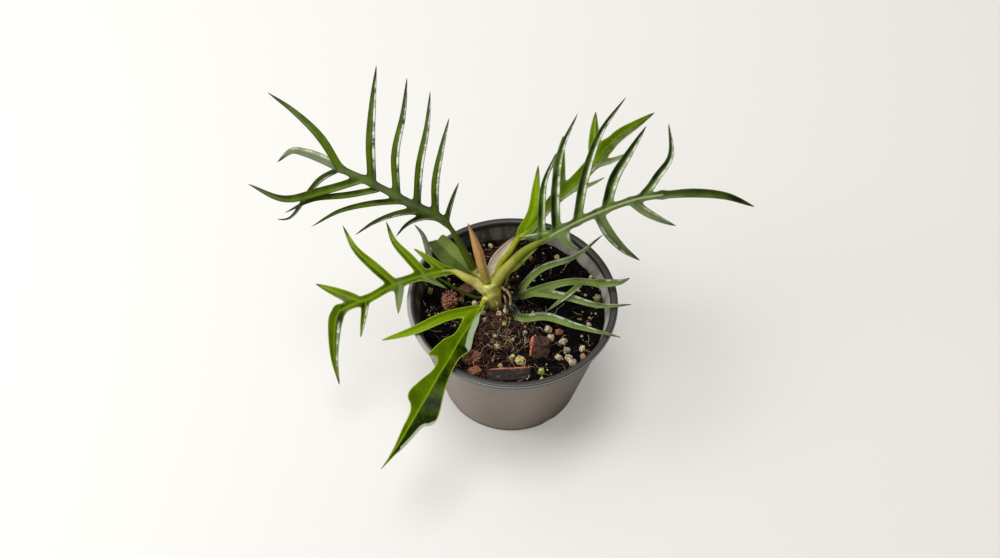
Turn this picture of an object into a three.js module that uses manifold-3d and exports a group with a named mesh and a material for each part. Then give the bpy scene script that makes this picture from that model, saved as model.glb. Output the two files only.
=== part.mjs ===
// A potted philodendron tortum: a young plant of eight finger-lobed leaves in a thin round nursery pot.
// Millimetres, +Z up. The origin is the middle of the pot's foot, on the surface that it stands on.

import * as THREE from 'three';
import { mergeVertices } from 'three/addons/utils/BufferGeometryUtils.js';
import Module from 'manifold-3d';

const wasm = await Module();
wasm.setup();

// Driving sizes of the pot and what fills it
const POT = {
  height: 71,
  rimRadius: 55,
  footRadius: 37.5,
  footRound: 1.5,
  wall: 1.2,
  floor: 1.5,
  lipWidth: 2.6,
  lipHeight: 2.6,
  sides: 48,
};
const NOTCH = { count: 4, width: 7, height: 2.2, depth: 3, firstDegrees: -56 };
const SOIL = {
  level: 61,
  sides: 48,
  rings: [7, 14, 21, 28, 35, 42],
  mound: 1.2,
  moundReach: 22,
  roughness: 0.55,
  edgeDrop: 2.2,
  seed: 41,
};
const CLEARANCE = 0.3;

// The stem leans a little to the back left and stands in a plain hole in the soil
const STEM = {
  foot: [-9.5, 2.5, 50],
  level: [-10, 4.3, 61],
  crown: [-12, 7.5, 75],
  radii: [3.2, 4.6, 5.1, 5.2, 4.4, 2.4],
  sides: 12,
};

// Leaf blades: thickness at the rib and at the edge, and how far the edge stands up for its width
const BLADE = { thickness: 1.1, edge: 0.6, fold: 0.22 };
const THINNEST = 0.6;

// Lobes flare at the root, swell at their widest and narrow to a point
const LOBE = {
  stations: [0, 0.08, 0.28, 0.5, 0.72, 0.9, 1],
  flare: 0.5,
  flareLength: 0.05,
  shoulder: 0.82,
  widestAt: 0.375,
  point: 0.06,
  thinning: 0.35,
};

// The rib of a lobed leaf: its depth where it carries the blade, and how much it slims to its end
const RIB = { wing: 0.9, depth: 1.7, edgeShare: 0.5, narrows: 0.15, narrowsInBroad: 0.75, thins: 0.3 };

// Leaves are set out on a plane that leans back through the middle of the plant and faces the light.
// A point is [across, up the plane, out in front of it].
const PLANT_MIDDLE = new THREE.Vector3(-6.7, 12.6, 71);
const PLANE_TILT = THREE.MathUtils.degToRad(52.7);
const PLANE_ROLL = THREE.MathUtils.degToRad(0.9);
const LEVEL_ACROSS = new THREE.Vector3(1, 0, 0);
const FRONT = new THREE.Vector3(0, -Math.cos(PLANE_TILT), Math.sin(PLANE_TILT));
const LEVEL_UP = new THREE.Vector3().crossVectors(FRONT, LEVEL_ACROSS);
const ACROSS = LEVEL_ACROSS.clone().multiplyScalar(Math.cos(PLANE_ROLL))
  .addScaledVector(LEVEL_UP, Math.sin(PLANE_ROLL));
const UP = LEVEL_UP.clone().multiplyScalar(Math.cos(PLANE_ROLL))
  .addScaledVector(LEVEL_ACROSS, -Math.sin(PLANE_ROLL));

// Each leaf has a rib of points from the stem to where its last lobes part, and rows of lobes.
// A lobe is [place on the rib, tip, sideways bows at a third and at two thirds, rise of its middle,
// width], and one that winds has the points that it passes after these. A bow is to the left of a
// lobe's way outwards.
// A place on the rib counts its points from 0, so 3.5 is halfway between the fourth and the fifth.
// A broad blade is [place on the rib, reach to its left, reach to its right].
const LEAVES = {
  leaf_a: {
    rib: [[-7.5, -0.5, 2.5], [-12.5, 4, 2.5], [-18.5, 14, 8], [-27, 28, 14.5], [-36, 34, 19],
      [-46, 38.5, 22], [-56, 44, 23], [-66, 49, 24.5], [-81, 56, 26]],
    stalk: 2,
    wing: 1.9,
    bladeFrom: 3,
    lobes: [
      [8, [-118.5, 95, 16], [-3.8, -3.2], 3, 3.7],
      [8, [-112.5, 60, 20], [-2, -5.8], 2, 3.2],
      [8, [-115.5, 31, 8], [0, 0], 0, 2.8,
        [[-92, 51, 18.5], [-98.5, 44.5, 14.5], [-109, 31.8, 9.5]]],
      [7.25, [-128.5, 49, 14], [5.4, 8.8], 4, 3.8],
      [6.4, [-110, 34, 16], [-0.9, -3], 3, 3],
      [5.25, [-96.5, 27, 14], [-3.1, -3.7], 3, 2.6],
      [4.2, [-74, 23, 12], [-3, -3], 2, 2.5],
      [3.6, [-53, 22, 12], [-3, -3.2], 1, 2.2],
      [6.9, [-64.5, 110.5, 6], [1.2, 0.8], 4, 4.3],
      [5.65, [-48.5, 104.5, 6], [2.3, 0.1], 4, 3.6],
      [4.65, [-36.5, 97, 6], [0.7, -0.7], 4, 3.5],
      [3.7, [-26.5, 83, 8], [2.2, 1.5], 3, 3.4],
      [3.1, [-21.5, 49, 12], [0.5, 0.5], 1, 2.2],
    ],
  },
  leaf_b: {
    rib: [[-3, -2, 5], [2.5, 4.5, 8], [13, 14.5, 10.5], [23, 20.3, 12.5], [31, 25, 14], [41, 30, 16],
      [51.5, 34.5, 18], [61.5, 38.3, 20], [71.5, 41.2, 21.5], [82.5, 42.8, 23]],
    stalk: 2.2,
    wing: 1.8,
    bladeFrom: 3,
    lobes: [
      [9, [130.5, 37.5, 12], [2.8, 3.3], 3, 3.7],
      [8, [87, 79.5, 14], [0, 0], 3, 3.3,
        [[77, 47.5, 22], [80.3, 52.3, 20.5], [86.6, 60.8, 18], [88, 66.5, 16.5]]],
      [6.25, [75.5, 78.5, 10], [3.1, 1.8], 3, 4.2],
      [4.85, [65.5, 94, 8], [4.9, 5.7], 4, 3.6],
      [3.75, [40.5, 85.5, 7], [4.3, 5.1], 3, 4],
      [2.85, [28.5, 63, 6.5], [2.4, 3.4], 1.5, 3.2],
      [4.25, [41.5, 16, 8], [-3.4, -3.2], 1, 4.2],
      [5.85, [72, 10.5, 8], [-2.7, -2.7], 2, 4.3],
      [7.5, [90, 28, 12], [-1.2, -1.1], 1, 3.9],
      [3.65, [10, 21.5, 9], [0, 0], 0.5, 2.1],
    ],
  },
  leaf_c: {
    rib: [[-3.2, -1.5, 1], [0, 7.5, 2.2], [5, 14, 1.8], [9, 20.5, 1.5], [13, 24, 1], [18.5, 29, 0.5],
      [23.5, 35, 0], [29, 41.5, -1], [37, 47.5, -2], [47, 58, -3], [56.5, 70, -4]],
    stalk: 1.4,
    bladeFrom: 4,
    broad: [[3.4, 0.8, 0.8], [4.2, 3, 1.6], [6, 2.8, 1.8], [7.2, 3.6, 2.2], [8.4, 4.2, 2.6], [9.3, 4.2, 3],
      [10, 3.6, 3.2]],
    lobes: [
      [9.8, [81.5, 88, -10], [1.6, 0.8], 1, 5.6],
      [9.3, [51, 88, -10], [0.5, 0.5], 1, 6],
      [7.2, [33.5, 75, -8], [0.5, 0.5], 1, 6.5],
      [3.8, [20, 59, -3], [-2.6, -1.4], 1, 4.2],
      [9.2, [69, 67.5, -7], [-1.2, -1], 0, 2.6],
      [8, [54.5, 53.5, -4], [-1.4, -1], 0, 1.8],
    ],
  },
  leaf_d: {
    rib: [[-6.5, -6, 4], [-11.5, -2.6, 6.5], [-17.5, 0.6, 9.2], [-25, 4.2, 10.5], [-36.5, 2.7, 11],
      [-46.5, 0, 11.5], [-57, -4, 12], [-67.5, -9.8, 12], [-77.5, -14, 11], [-84, -17.5, 9.5]],
    stalk: 2.2,
    wing: 2.1,
    bladeFrom: 3,
    lobes: [
      [9, [-85, -55.5, -4], [-2.6, -2.2], 3, 4.8],
      [7.45, [-95, -3, 6], [0, 0], 1, 4.4],
      [5.75, [-81, 27, 8], [1.8, 3], 2, 4.2],
      [4.25, [-58.5, 29, 8], [1.3, 2.6], 2, 4],
      [3.3, [-43.5, 15, 9], [0, 0], 1, 3.4],
      [7.15, [-72.5, -29.5, 6], [0, 0], 0, 3],
      [5.5, [-53, -17, 6], [0, 0], 0, 3.8],
      [4.4, [-28.5, -4.5, 6], [0, 0], 0.5, 2.4],
    ],
  },
  leaf_e: {
    rib: [[-4, -8, 0.5], [-7.5, -10.5, 3.5], [-10.5, -15.5, 8], [-15.5, -23.5, 16.5], [-20.5, -31, 25.5],
      [-25, -39, 34], [-30, -47, 41], [-34.5, -55, 46], [-39.5, -63.5, 49], [-44.5, -72, 50.5],
      [-49.5, -80.5, 50.5], [-54.5, -87.5, 49.5], [-58.5, -93.5, 48]],
    stalk: 1.5,
    bladeFrom: 2,
    broad: [[2, 1.2, 1.2], [3, 3.5, 4.2], [4, 6.4, 6.4], [4.6, 5.4, 8.2], [5.05, 4.6, 9], [5.45, 5, 4.4],
      [6, 5.6, 3.9], [7, 7.8, 7.4], [7.5, 9.2, 8.6], [7.95, 10, 6], [8.5, 8.8, 3.3], [9, 5.5, 2.6],
      [10, 3.2, 1.8], [11, 1.7, 1], [12, 0.3, 0.3]],
    lobes: [
      [2, [-59.5, -31, 22.5], [-3.2, -0.6], 5, 4.6],
    ],
  },
  leaf_f: {
    rib: [[-6, -4, -1], [-11, -1, -2], [-16, 4.5, -1], [-25, 12.5, 1], [-33.5, 20.5, 2.5]],
    stalk: 1.3,
    bladeFrom: 2,
    broad: [[1.6, 1.2, 1.2], [2.2, 2.2, 2.6], [2.6, 3.2, 4], [3, 4.2, 5], [3.6, 5.2, 5.6], [4, 5.4, 4.6]],
    lobes: [],
  },
  leaf_g: {
    rib: [[-3, -9, 0], [3.5, -9.5, 1], [10.5, -9.3, 2.5], [22.5, -4.6, 4.5], [38, -1.3, 5.5], [52, -2.2, 6]],
    stalk: 1.1,
    wing: 1.5,
    bladeFrom: 2,
    lobes: [
      [5, [66.5, 0.3, 6], [-0.8, -1.2], 0.5, 3],
      [2.55, [67.5, -13, 13.5], [-0.2, -2.6], 1, 3.3],
      [4.4, [24.5, -16.5, 11], [0, 0], 2.5, 2.2],
      [1.5, [53.5, 23, 4], [3.9, -0.9], 1, 2.8],
      [0.9, [61, -29.5, 26], [0, 0], 0, 3.2,
        [[6.5, -15, 4], [10.5, -20, 5.5], [23.5, -19.3, 9.5], [39, -24, 17]]],
    ],
  },
  leaf_h: {
    rib: [[-5, -10, -1], [-13, -9.5, -0.5], [-19.5, -7, -0.5], [-26.5, -3, 0], [-33, 1.5, 0.5],
      [-37, 11, 0.5]],
    stalk: 0.9,
    wing: 0.9,
    bladeFrom: 4,
    lobes: [
      [5, [-44.5, 27.5, 1.5], [-1.4, -1.8], 0.5, 2.4],
    ],
  },
};

// A rolled young leaf, a dry sheath and a small bract: points up the middle, with a half width at each
const SHOOT = {
  points: [[-6.4, -1.4, 6.7], [-9, 6, 11], [-10.8, 13, 13], [-13.5, 21, 15], [-16.5, 28.5, 16.5]],
  halves: [1.4, 2.2, 2.3, 1.5, 0.3],
};
const SHEATH = {
  points: [[-3.1, -3.5, -1.6], [-4, 3.5, -2], [-1, 9, -1.8], [4, 15.5, -2], [8.5, 21, -2.5]],
  halves: [1.4, 1.7, 2.2, 2, 0.7],
  thickness: 0.9,
};
const BRACT = {
  points: [[-1.5, -5.5, 1], [2.5, -3, 1], [5, 3, 2], [8, 5.5, 3], [11.5, 9, 4], [15.5, 13, 5],
    [19.5, 16, 6]],
  halves: [0.7, 0.6, 0.6, 1.1, 1.2, 0.9, 0.3],
  thickness: 0.9,
};

// Roots that leave the stem in the air and reach down to the soil
const ROOTS = [
  { points: [[-4, -5, 4], [2, -6, 6], [4.5, -11, 5.5], [5.5, -16.5, 4], [8.5, -21, 7]], radius: 0.7 },
  { points: [[-5, -9, 2], [-1, -12, 5], [1, -16, 4.5]], radius: 0.9 },
];

// Loose pieces in the mix: middle, half sizes, turn in degrees about each axis
const COIR = { colour: 0x7a3f2e, roughness: 0.9 };
const CHUNKS = {
  coir_lump_left: { at: [-33, 3.5, 63], half: [4.4, 3.8, 4.5], turn: [0, 10, 20], seed: 3, finish: COIR },
  coir_lump_front: { at: [-20.5, -31.5, 62], half: [4.2, 3.6, 3.4], turn: [8, 0, -25], seed: 7, finish: COIR },
  bark_chip_back: { at: [-24, 12.5, 61.5], half: [4.2, 3.2, 2.2], turn: [6, -8, 30], seed: 11 },
  bark_plate: { at: [14, -26, 62.5], half: [6.2, 2.4, 5], turn: [-24, 6, -8], seed: 13 },
  bark_strip: { at: [-3.5, -41, 61.8], half: [10, 3, 1.7], turn: [18, 4, 8], seed: 17 },
  bark_chip_front: { at: [-19.5, -40, 61.6], half: [2.8, 2.2, 2], turn: [0, 15, 35], seed: 19 },
};
const CHUNK = { cornerPull: 0.45, smallest: 0.9, uneven: 0.22, spare: 0.1 };

// Perlite grains that show: across, back and radius, on the soil
const GRAINS = [
  [-18.3, 3, 1.9], [-14.2, -2, 2], [-9.5, -2.6, 2], [-19.5, -2.6, 1.6], [-3.6, -10, 1.7],
  [-9, -8.5, 1.3], [-9.5, -16.5, 1.6], [-8, -24, 1.5], [-7.5, -33.5, 1.6], [7.2, -15, 1.3],
  [19.8, -13.5, 2.3], [24.3, -14.5, 2.1], [20.4, -18.5, 2], [26.5, -20.5, 2.1], [24, -31, 2],
  [29, -30.5, 2.2], [32.5, -33, 2.2], [36, -25, 1.8], [15.5, -39.5, 1.9], [15, -43.5, 1.4],
  [2.8, -32.5, 3.1], [-44.5, 11.5, 1.9], [-12, 43, 1.6], [40, 12, 1.6], [38.5, 21, 1.5],
  [5, 30, 1.7], [-30, 28, 1.6], [40, -9, 1.7], [-38, -10, 1.4], [24, 36, 1.6],
];
const GRAIN_SHAPE = { least: [0.85, 0.8, 0.65], spread: [0.35, 0.3, 0.3], tilt: 0.8, lift: 0.25 };

// A repeatable stream of numbers from 0 to 1
function randomStream(seed) {
  let state = seed;
  return () => {
    state = (state * 1664525 + 1013904223) % 4294967296;
    return state / 4294967296;
  };
}

// A point of the leaning plane, in the part's own frame
function place([across, up, out]) {
  return PLANT_MIDDLE.clone()
    .addScaledVector(ACROSS, across)
    .addScaledVector(UP, up)
    .addScaledVector(FRONT, out);
}

function solidOf(geometry) {
  const bare = geometry.clone();
  bare.deleteAttribute('normal');
  bare.deleteAttribute('uv');
  const merged = mergeVertices(bare, 1e-4);
  return new wasm.Manifold(new wasm.Mesh({
    numProp: 3,
    vertProperties: new Float32Array(merged.attributes.position.array),
    triVerts: new Uint32Array(merged.index.array),
  }));
}

// The largest body of a solid, without scraps that a cut has parted from it
function mainBody(solid) {
  return solid.decompose().reduce((best, body) => (body.volume() > best.volume() ? body : best));
}

function meshOf(name, solid, { colour, roughness }) {
  const { vertProperties, triVerts } = solid.getMesh();
  const geometry = new THREE.BufferGeometry();
  geometry.setAttribute('position', new THREE.BufferAttribute(vertProperties, 3));
  geometry.setIndex(new THREE.BufferAttribute(triVerts, 1));
  geometry.computeVertexNormals();
  const finish = new THREE.MeshStandardMaterial({ color: colour, roughness, metalness: 0 });
  const mesh = new THREE.Mesh(geometry, finish);
  mesh.name = name;
  return mesh;
}

// A closed skin over a row of rings, each with the same number of points, and a fan over each end.
// The second half of a ring is split the other way, so that the two faces of a thin blade match.
function loft(rings) {
  const count = rings[0].length;
  const positions = rings.flat().flatMap((p) => [p.x, p.y, p.z]);
  const index = [];
  for (let i = 0; i + 1 < rings.length; i += 1) {
    for (let j = 0; j < count; j += 1) {
      const a = i * count + j;
      const b = i * count + ((j + 1) % count);
      const c = a + count;
      const d = b + count;
      if (j < count / 2) {
        index.push(a, b, d, a, d, c);
      } else {
        index.push(a, b, c, b, d, c);
      }
    }
  }
  const last = (rings.length - 1) * count;
  for (let j = 2; j < count; j += 1) {
    const next = (j + 1) % count;
    index.push(1, next, j);
    index.push(last + 1, last + j, last + next);
  }
  const geometry = new THREE.BufferGeometry();
  geometry.setAttribute('position', new THREE.Float32BufferAttribute(positions, 3));
  geometry.setIndex(index);
  return geometry;
}

// One ring of a blade or stalk: the rib's middle, the two edges, and the underside
function bladeRing(centre, tangent, section) {
  const side = new THREE.Vector3().crossVectors(tangent, FRONT).normalize();
  const normal = new THREE.Vector3().crossVectors(side, tangent).normalize();
  const at = (across, out) => centre.clone().addScaledVector(side, across).addScaledVector(normal, out);
  const { left, right, depth, edge, fold } = section;
  return [
    at(-left, fold * left + edge / 2),
    at(0, depth / 2),
    at(right, fold * right + edge / 2),
    at(right, fold * right - edge / 2),
    at(0, -depth / 2),
    at(-left, fold * left - edge / 2),
  ];
}

// The share of its full width that a lobe has along its length
function lobeWidth(along) {
  const root = LOBE.flare * Math.exp(-along / LOBE.flareLength);
  const swell = Math.sin(Math.PI / 2 * Math.min(2, along / LOBE.widestAt));
  const body = LOBE.shoulder + (1 - LOBE.shoulder) * swell;
  return (body + root) * (1 - along ** 4) ** 0.8 + LOBE.point;
}

// The middle line of a lobe, from the rib to its tip
function lobeCurve(ribCurve, ribLast, [onRib, tip, bows, rise, , passes]) {
  const start = ribCurve.getPoint(onRib / ribLast);
  const end = new THREE.Vector3(...tip);
  if (passes) {
    return new THREE.CatmullRomCurve3([start.toArray(), ...passes, tip].map(place));
  }
  const chord = end.clone().sub(start);
  const flat = Math.hypot(chord.x, chord.y);
  const bowed = (share, bow) => start.clone().lerp(end, share)
    .add(new THREE.Vector3(-chord.y / flat * bow, chord.x / flat * bow, rise));
  const points = [start, bowed(1 / 3, bows[0]), bowed(2 / 3, bows[1]), end];
  return new THREE.CatmullRomCurve3(points.map((p) => place(p.toArray())));
}

function lobeSolid(ribCurve, ribLast, lobe) {
  const curve = lobeCurve(ribCurve, ribLast, lobe);
  const width = lobe[4];
  return solidOf(loft(LOBE.stations.map((along) => {
    const half = width / 2 * lobeWidth(along);
    const slim = 1 - LOBE.thinning * along;
    return bladeRing(curve.getPointAt(along), curve.getTangentAt(along), {
      left: half,
      right: half,
      depth: BLADE.thickness * slim,
      edge: BLADE.edge * slim,
      fold: along > 0 ? BLADE.fold : 0,
    });
  })));
}

// The stalk and rib, round at the stem and flat where they carry the blade
function ribSolid(leaf, curve, last) {
  const stations = Array.from({ length: last * 2 + 1 }, (_, i) => i / 2);
  return solidOf(loft(stations.map((at) => {
    const flatness = THREE.MathUtils.smoothstep(at, leaf.bladeFrom - 1, leaf.bladeFrom + 0.5);
    const tip = THREE.MathUtils.smoothstep(at, leaf.bladeFrom, last);
    const wing = THREE.MathUtils.lerp(leaf.stalk, leaf.wing ?? RIB.wing, flatness);
    const half = wing * (1 - (leaf.broad ? RIB.narrowsInBroad : RIB.narrows) * tip);
    const depth = THREE.MathUtils.lerp(leaf.stalk * 2, RIB.depth, flatness) * (1 - RIB.thins * tip);
    return bladeRing(curve.getPoint(at / last), curve.getTangent(at / last), {
      left: half,
      right: half,
      depth,
      edge: depth * RIB.edgeShare,
      fold: 0,
    });
  })));
}

function broadSolid(leaf, curve, last) {
  return solidOf(loft(leaf.broad.map(([at, left, right]) => (
    bladeRing(curve.getPoint(at / last), curve.getTangent(at / last), {
      left,
      right,
      depth: BLADE.thickness,
      edge: BLADE.edge,
      fold: BLADE.fold,
    })
  ))));
}

function leafSolid(leaf) {
  const last = leaf.rib.length - 1;
  const flatCurve = new THREE.CatmullRomCurve3(leaf.rib.map((p) => new THREE.Vector3(...p)));
  const curve = new THREE.CatmullRomCurve3(leaf.rib.map(place));
  let solid = ribSolid(leaf, curve, last);
  if (leaf.broad) {
    solid = solid.add(broadSolid(leaf, curve, last));
  }
  for (const lobe of leaf.lobes) {
    solid = solid.add(lobeSolid(flatCurve, last, lobe));
  }
  return solid;
}

// A strip or rolled shoot along a few points, round where it has no thickness of its own
function stripSolid({ points, halves, thickness }) {
  const curve = new THREE.CatmullRomCurve3(points.map(place));
  const last = points.length - 1;
  const stations = Array.from({ length: last * 2 + 1 }, (_, i) => i / 2);
  return solidOf(loft(stations.map((at) => {
    const before = Math.floor(at);
    const after = Math.min(last, before + 1);
    const half = THREE.MathUtils.lerp(halves[before], halves[after], at - before);
    const depth = Math.max(THINNEST, thickness ?? half * 2);
    return bladeRing(curve.getPoint(at / last), curve.getTangent(at / last), {
      left: half,
      right: half,
      depth,
      edge: thickness ? THINNEST : depth * RIB.edgeShare,
      fold: thickness ? BLADE.fold : 0,
    });
  })));
}

function roundTube(points, radii, sides) {
  const curve = new THREE.CatmullRomCurve3(points);
  const last = radii.length - 1;
  return solidOf(loft(radii.map((radius, i) => {
    const centre = curve.getPoint(i / last);
    const tangent = curve.getTangent(i / last);
    const side = new THREE.Vector3().crossVectors(tangent, FRONT).normalize();
    const normal = new THREE.Vector3().crossVectors(side, tangent).normalize();
    return Array.from({ length: sides }, (_, j) => {
      const turn = -j / sides * 2 * Math.PI;
      return centre.clone()
        .addScaledVector(side, radius * Math.cos(turn))
        .addScaledVector(normal, radius * Math.sin(turn));
    });
  })));
}

function stemSolid(grow) {
  const points = [STEM.foot, STEM.level, STEM.crown].map((p) => new THREE.Vector3(...p));
  const along = points[2].clone().sub(points[1]).normalize();
  points[2].addScaledVector(along, grow);
  points[0].addScaledVector(along, -grow);
  return roundTube(points, STEM.radii.map((radius) => radius + grow), STEM.sides);
}

function rootSolid({ points, radius }, grow) {
  return roundTube(points.map(place), points.map(() => radius + grow), 6);
}

function outerRadius(z) {
  const wallTop = POT.rimRadius - POT.lipWidth;
  const share = (z - POT.footRound) / (POT.height - POT.lipHeight - POT.footRound);
  return THREE.MathUtils.lerp(POT.footRadius, wallTop, share);
}

function potSolid() {
  const { height, rimRadius, footRadius, footRound, wall, floor, lipWidth, lipHeight } = POT;
  const wallTop = height - lipHeight;
  const profile = [
    [0, 0],
    [footRadius - footRound, 0],
    [footRadius, footRound],
    [outerRadius(wallTop), wallTop],
    [rimRadius - lipWidth * 0.25, wallTop + lipHeight * 0.1],
    [rimRadius, wallTop + lipHeight * 0.35],
    [rimRadius, height - lipHeight * 0.25],
    [rimRadius - lipWidth * 0.25, height],
    [rimRadius - lipWidth * 0.75, height],
    [outerRadius(height) - wall, height - lipHeight * 0.25],
    [outerRadius(floor + footRound) - wall, floor + footRound],
    [outerRadius(floor) - wall - footRound, floor],
    [0, floor],
  ].map(([r, z]) => new THREE.Vector2(r, z));
  let solid = solidOf(new THREE.LatheGeometry(profile, POT.sides).rotateX(Math.PI / 2));
  for (let i = 0; i < NOTCH.count; i += 1) {
    const turn = THREE.MathUtils.degToRad(NOTCH.firstDegrees + i * 360 / NOTCH.count);
    const cutter = new THREE.BoxGeometry(NOTCH.depth * 2, NOTCH.width, NOTCH.height * 2);
    cutter.translate(footRadius, 0, 0).rotateZ(turn);
    solid = solid.subtract(solidOf(cutter));
  }
  return solid;
}

// The height of the soil: a low mound at the stem, with waves of two lengths
function soilHeight(x, y) {
  const away = Math.hypot(x - STEM.level[0], y - STEM.level[1]) / SOIL.moundReach;
  const broad = Math.sin(x * 0.42 + 1.3) * Math.cos(y * 0.37);
  const fine = 0.6 * Math.sin((x + y) * 0.81);
  return SOIL.level + SOIL.mound * Math.exp(-away * away) + SOIL.roughness * (broad + fine - 1);
}

function soilBase() {
  const gap = POT.wall + CLEARANCE;
  const bottom = POT.floor + CLEARANCE;
  const ringAt = (radius, height) => Array.from({ length: SOIL.sides }, (_, j) => {
    const turn = j / SOIL.sides * 2 * Math.PI;
    const x = radius * Math.cos(turn);
    const y = radius * Math.sin(turn);
    return new THREE.Vector3(x, y, height ?? soilHeight(x, y));
  });
  const side = SOIL.level - SOIL.edgeDrop;
  const middle = 0.5;
  const footRounding = 2;
  return solidOf(loft([
    ringAt(middle, bottom),
    ringAt(outerRadius(bottom) - gap - footRounding, bottom),
    ringAt(outerRadius(bottom + footRounding) - gap, bottom + footRounding),
    ringAt(outerRadius(side) - gap, side),
    ...[...SOIL.rings].reverse().map((radius) => ringAt(radius)),
    ringAt(middle),
  ]));
}

function grainSolid(x, y, radius, random) {
  const grain = new THREE.IcosahedronGeometry(radius, 0);
  grain.scale(...GRAIN_SHAPE.least.map((least, i) => least + random() * GRAIN_SHAPE.spread[i]));
  grain.rotateZ(random() * Math.PI);
  grain.rotateX(random() * GRAIN_SHAPE.tilt);
  grain.translate(x, y, soilHeight(x, y) + radius * GRAIN_SHAPE.lift);
  return solidOf(grain);
}

// A broken lump: a box with its corners pulled in and its faces uneven
function chunkSolid({ at, half, turn, seed }, grow) {
  const random = randomStream(seed);
  const box = new THREE.BoxGeometry(2, 2, 2, 2, 2, 2);
  box.deleteAttribute('normal');
  box.deleteAttribute('uv');
  const lump = mergeVertices(box);
  const spot = lump.attributes.position;
  for (let i = 0; i < spot.count; i += 1) {
    const p = new THREE.Vector3().fromBufferAttribute(spot, i);
    p.multiplyScalar((CHUNK.smallest + CHUNK.uneven * random()) / p.length() ** CHUNK.cornerPull);
    spot.setXYZ(i, p.x * (half[0] + grow), p.y * (half[1] + grow), p.z * (half[2] + grow));
  }
  const [rx, ry, rz] = turn.map(THREE.MathUtils.degToRad);
  lump.rotateX(rx).rotateY(ry).rotateZ(rz).translate(...at);
  return solidOf(lump);
}

function soilSolid() {
  const random = randomStream(SOIL.seed);
  let solid = soilBase();
  for (const [x, y, radius] of GRAINS) {
    solid = solid.add(grainSolid(x, y, radius, random));
  }
  solid = solid.subtract(stemSolid(CLEARANCE));
  for (const chunk of Object.values(CHUNKS)) {
    solid = solid.subtract(chunkSolid(chunk, CLEARANCE + CHUNK.spare));
  }
  return mainBody(solid);
}

function stemAndRoots(grow) {
  return ROOTS.reduce((solid, root) => solid.add(rootSolid(root, grow)), stemSolid(grow));
}

const FINISHES = {
  pot: { colour: 0x77706c, roughness: 0.45 },
  soil: { colour: 0x241a15, roughness: 0.95 },
  bark: { colour: 0x4a2c22, roughness: 0.9 },
  stem: { colour: 0x9aa24a, roughness: 0.5 },
  leaf: { colour: 0x3f6b2a, roughness: 0.35 },
  shoot: { colour: 0xa8763f, roughness: 0.5 },
  sheath: { colour: 0xcbb6a3, roughness: 0.6 },
  bract: { colour: 0x7fa63a, roughness: 0.4 },
};

const stemSpace = stemAndRoots(CLEARANCE);
const plant = new THREE.Group();
plant.add(meshOf('pot', potSolid(), FINISHES.pot));
plant.add(meshOf('soil', soilSolid(), FINISHES.soil));
for (const [name, chunk] of Object.entries(CHUNKS)) {
  plant.add(meshOf(name, chunkSolid(chunk, 0), chunk.finish ?? FINISHES.bark));
}
plant.add(meshOf('stem', stemAndRoots(0), FINISHES.stem));
for (const [name, leaf] of Object.entries(LEAVES)) {
  plant.add(meshOf(name, leafSolid(leaf).subtract(stemSpace), FINISHES.leaf));
}
plant.add(meshOf('shoot', stripSolid(SHOOT).subtract(stemSpace), FINISHES.shoot));
plant.add(meshOf('sheath', stripSolid(SHEATH).subtract(stemSpace), FINISHES.sheath));
plant.add(meshOf('bract', stripSolid(BRACT).subtract(stemSpace), FINISHES.bract));

export default plant;
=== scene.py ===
"""A potted philodendron tortum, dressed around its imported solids.

Lengths in the tables are millimetres and finished meshes are metres, +Z up, in the frame of the solids.
The leaves are set out on a plane that leans back through the plant and faces the camera, where a point is
[across, up the plane, out in front of it].
"""

import logging
import math
from collections.abc import Callable
from dataclasses import dataclass, field
from enum import Enum

import bmesh
import bpy
import numpy as np
from mathutils import Matrix, Vector, noise


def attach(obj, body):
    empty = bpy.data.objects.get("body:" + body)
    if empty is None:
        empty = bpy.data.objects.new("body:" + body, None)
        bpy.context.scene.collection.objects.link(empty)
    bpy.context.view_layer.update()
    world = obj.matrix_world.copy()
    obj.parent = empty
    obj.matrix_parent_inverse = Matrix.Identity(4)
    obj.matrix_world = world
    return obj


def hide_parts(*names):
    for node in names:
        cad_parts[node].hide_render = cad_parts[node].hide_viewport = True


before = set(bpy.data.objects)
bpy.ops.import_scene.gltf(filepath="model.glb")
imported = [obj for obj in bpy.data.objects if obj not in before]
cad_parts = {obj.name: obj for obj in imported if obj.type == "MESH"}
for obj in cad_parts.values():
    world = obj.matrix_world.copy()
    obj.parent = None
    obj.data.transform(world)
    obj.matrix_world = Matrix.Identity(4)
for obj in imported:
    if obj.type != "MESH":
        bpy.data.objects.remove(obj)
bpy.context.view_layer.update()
LOG = logging.getLogger("plant")
MM = 0.001
BODY = "root"
FAR = 9.0

Array = np.ndarray
Point = tuple[float, float, float]
Object = bpy.types.Object
Material = bpy.types.Material


class Slot(Enum):
    """The record's material slots."""

    POT = "pot_plastic"
    MIX = "potting_mix"
    COIR = "coir"
    BARK = "bark"
    STEM = "green_stem"
    LEAF = "leaf"
    SHOOT = "young_shoot"
    SHEATH = "dry_sheath"


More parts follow.
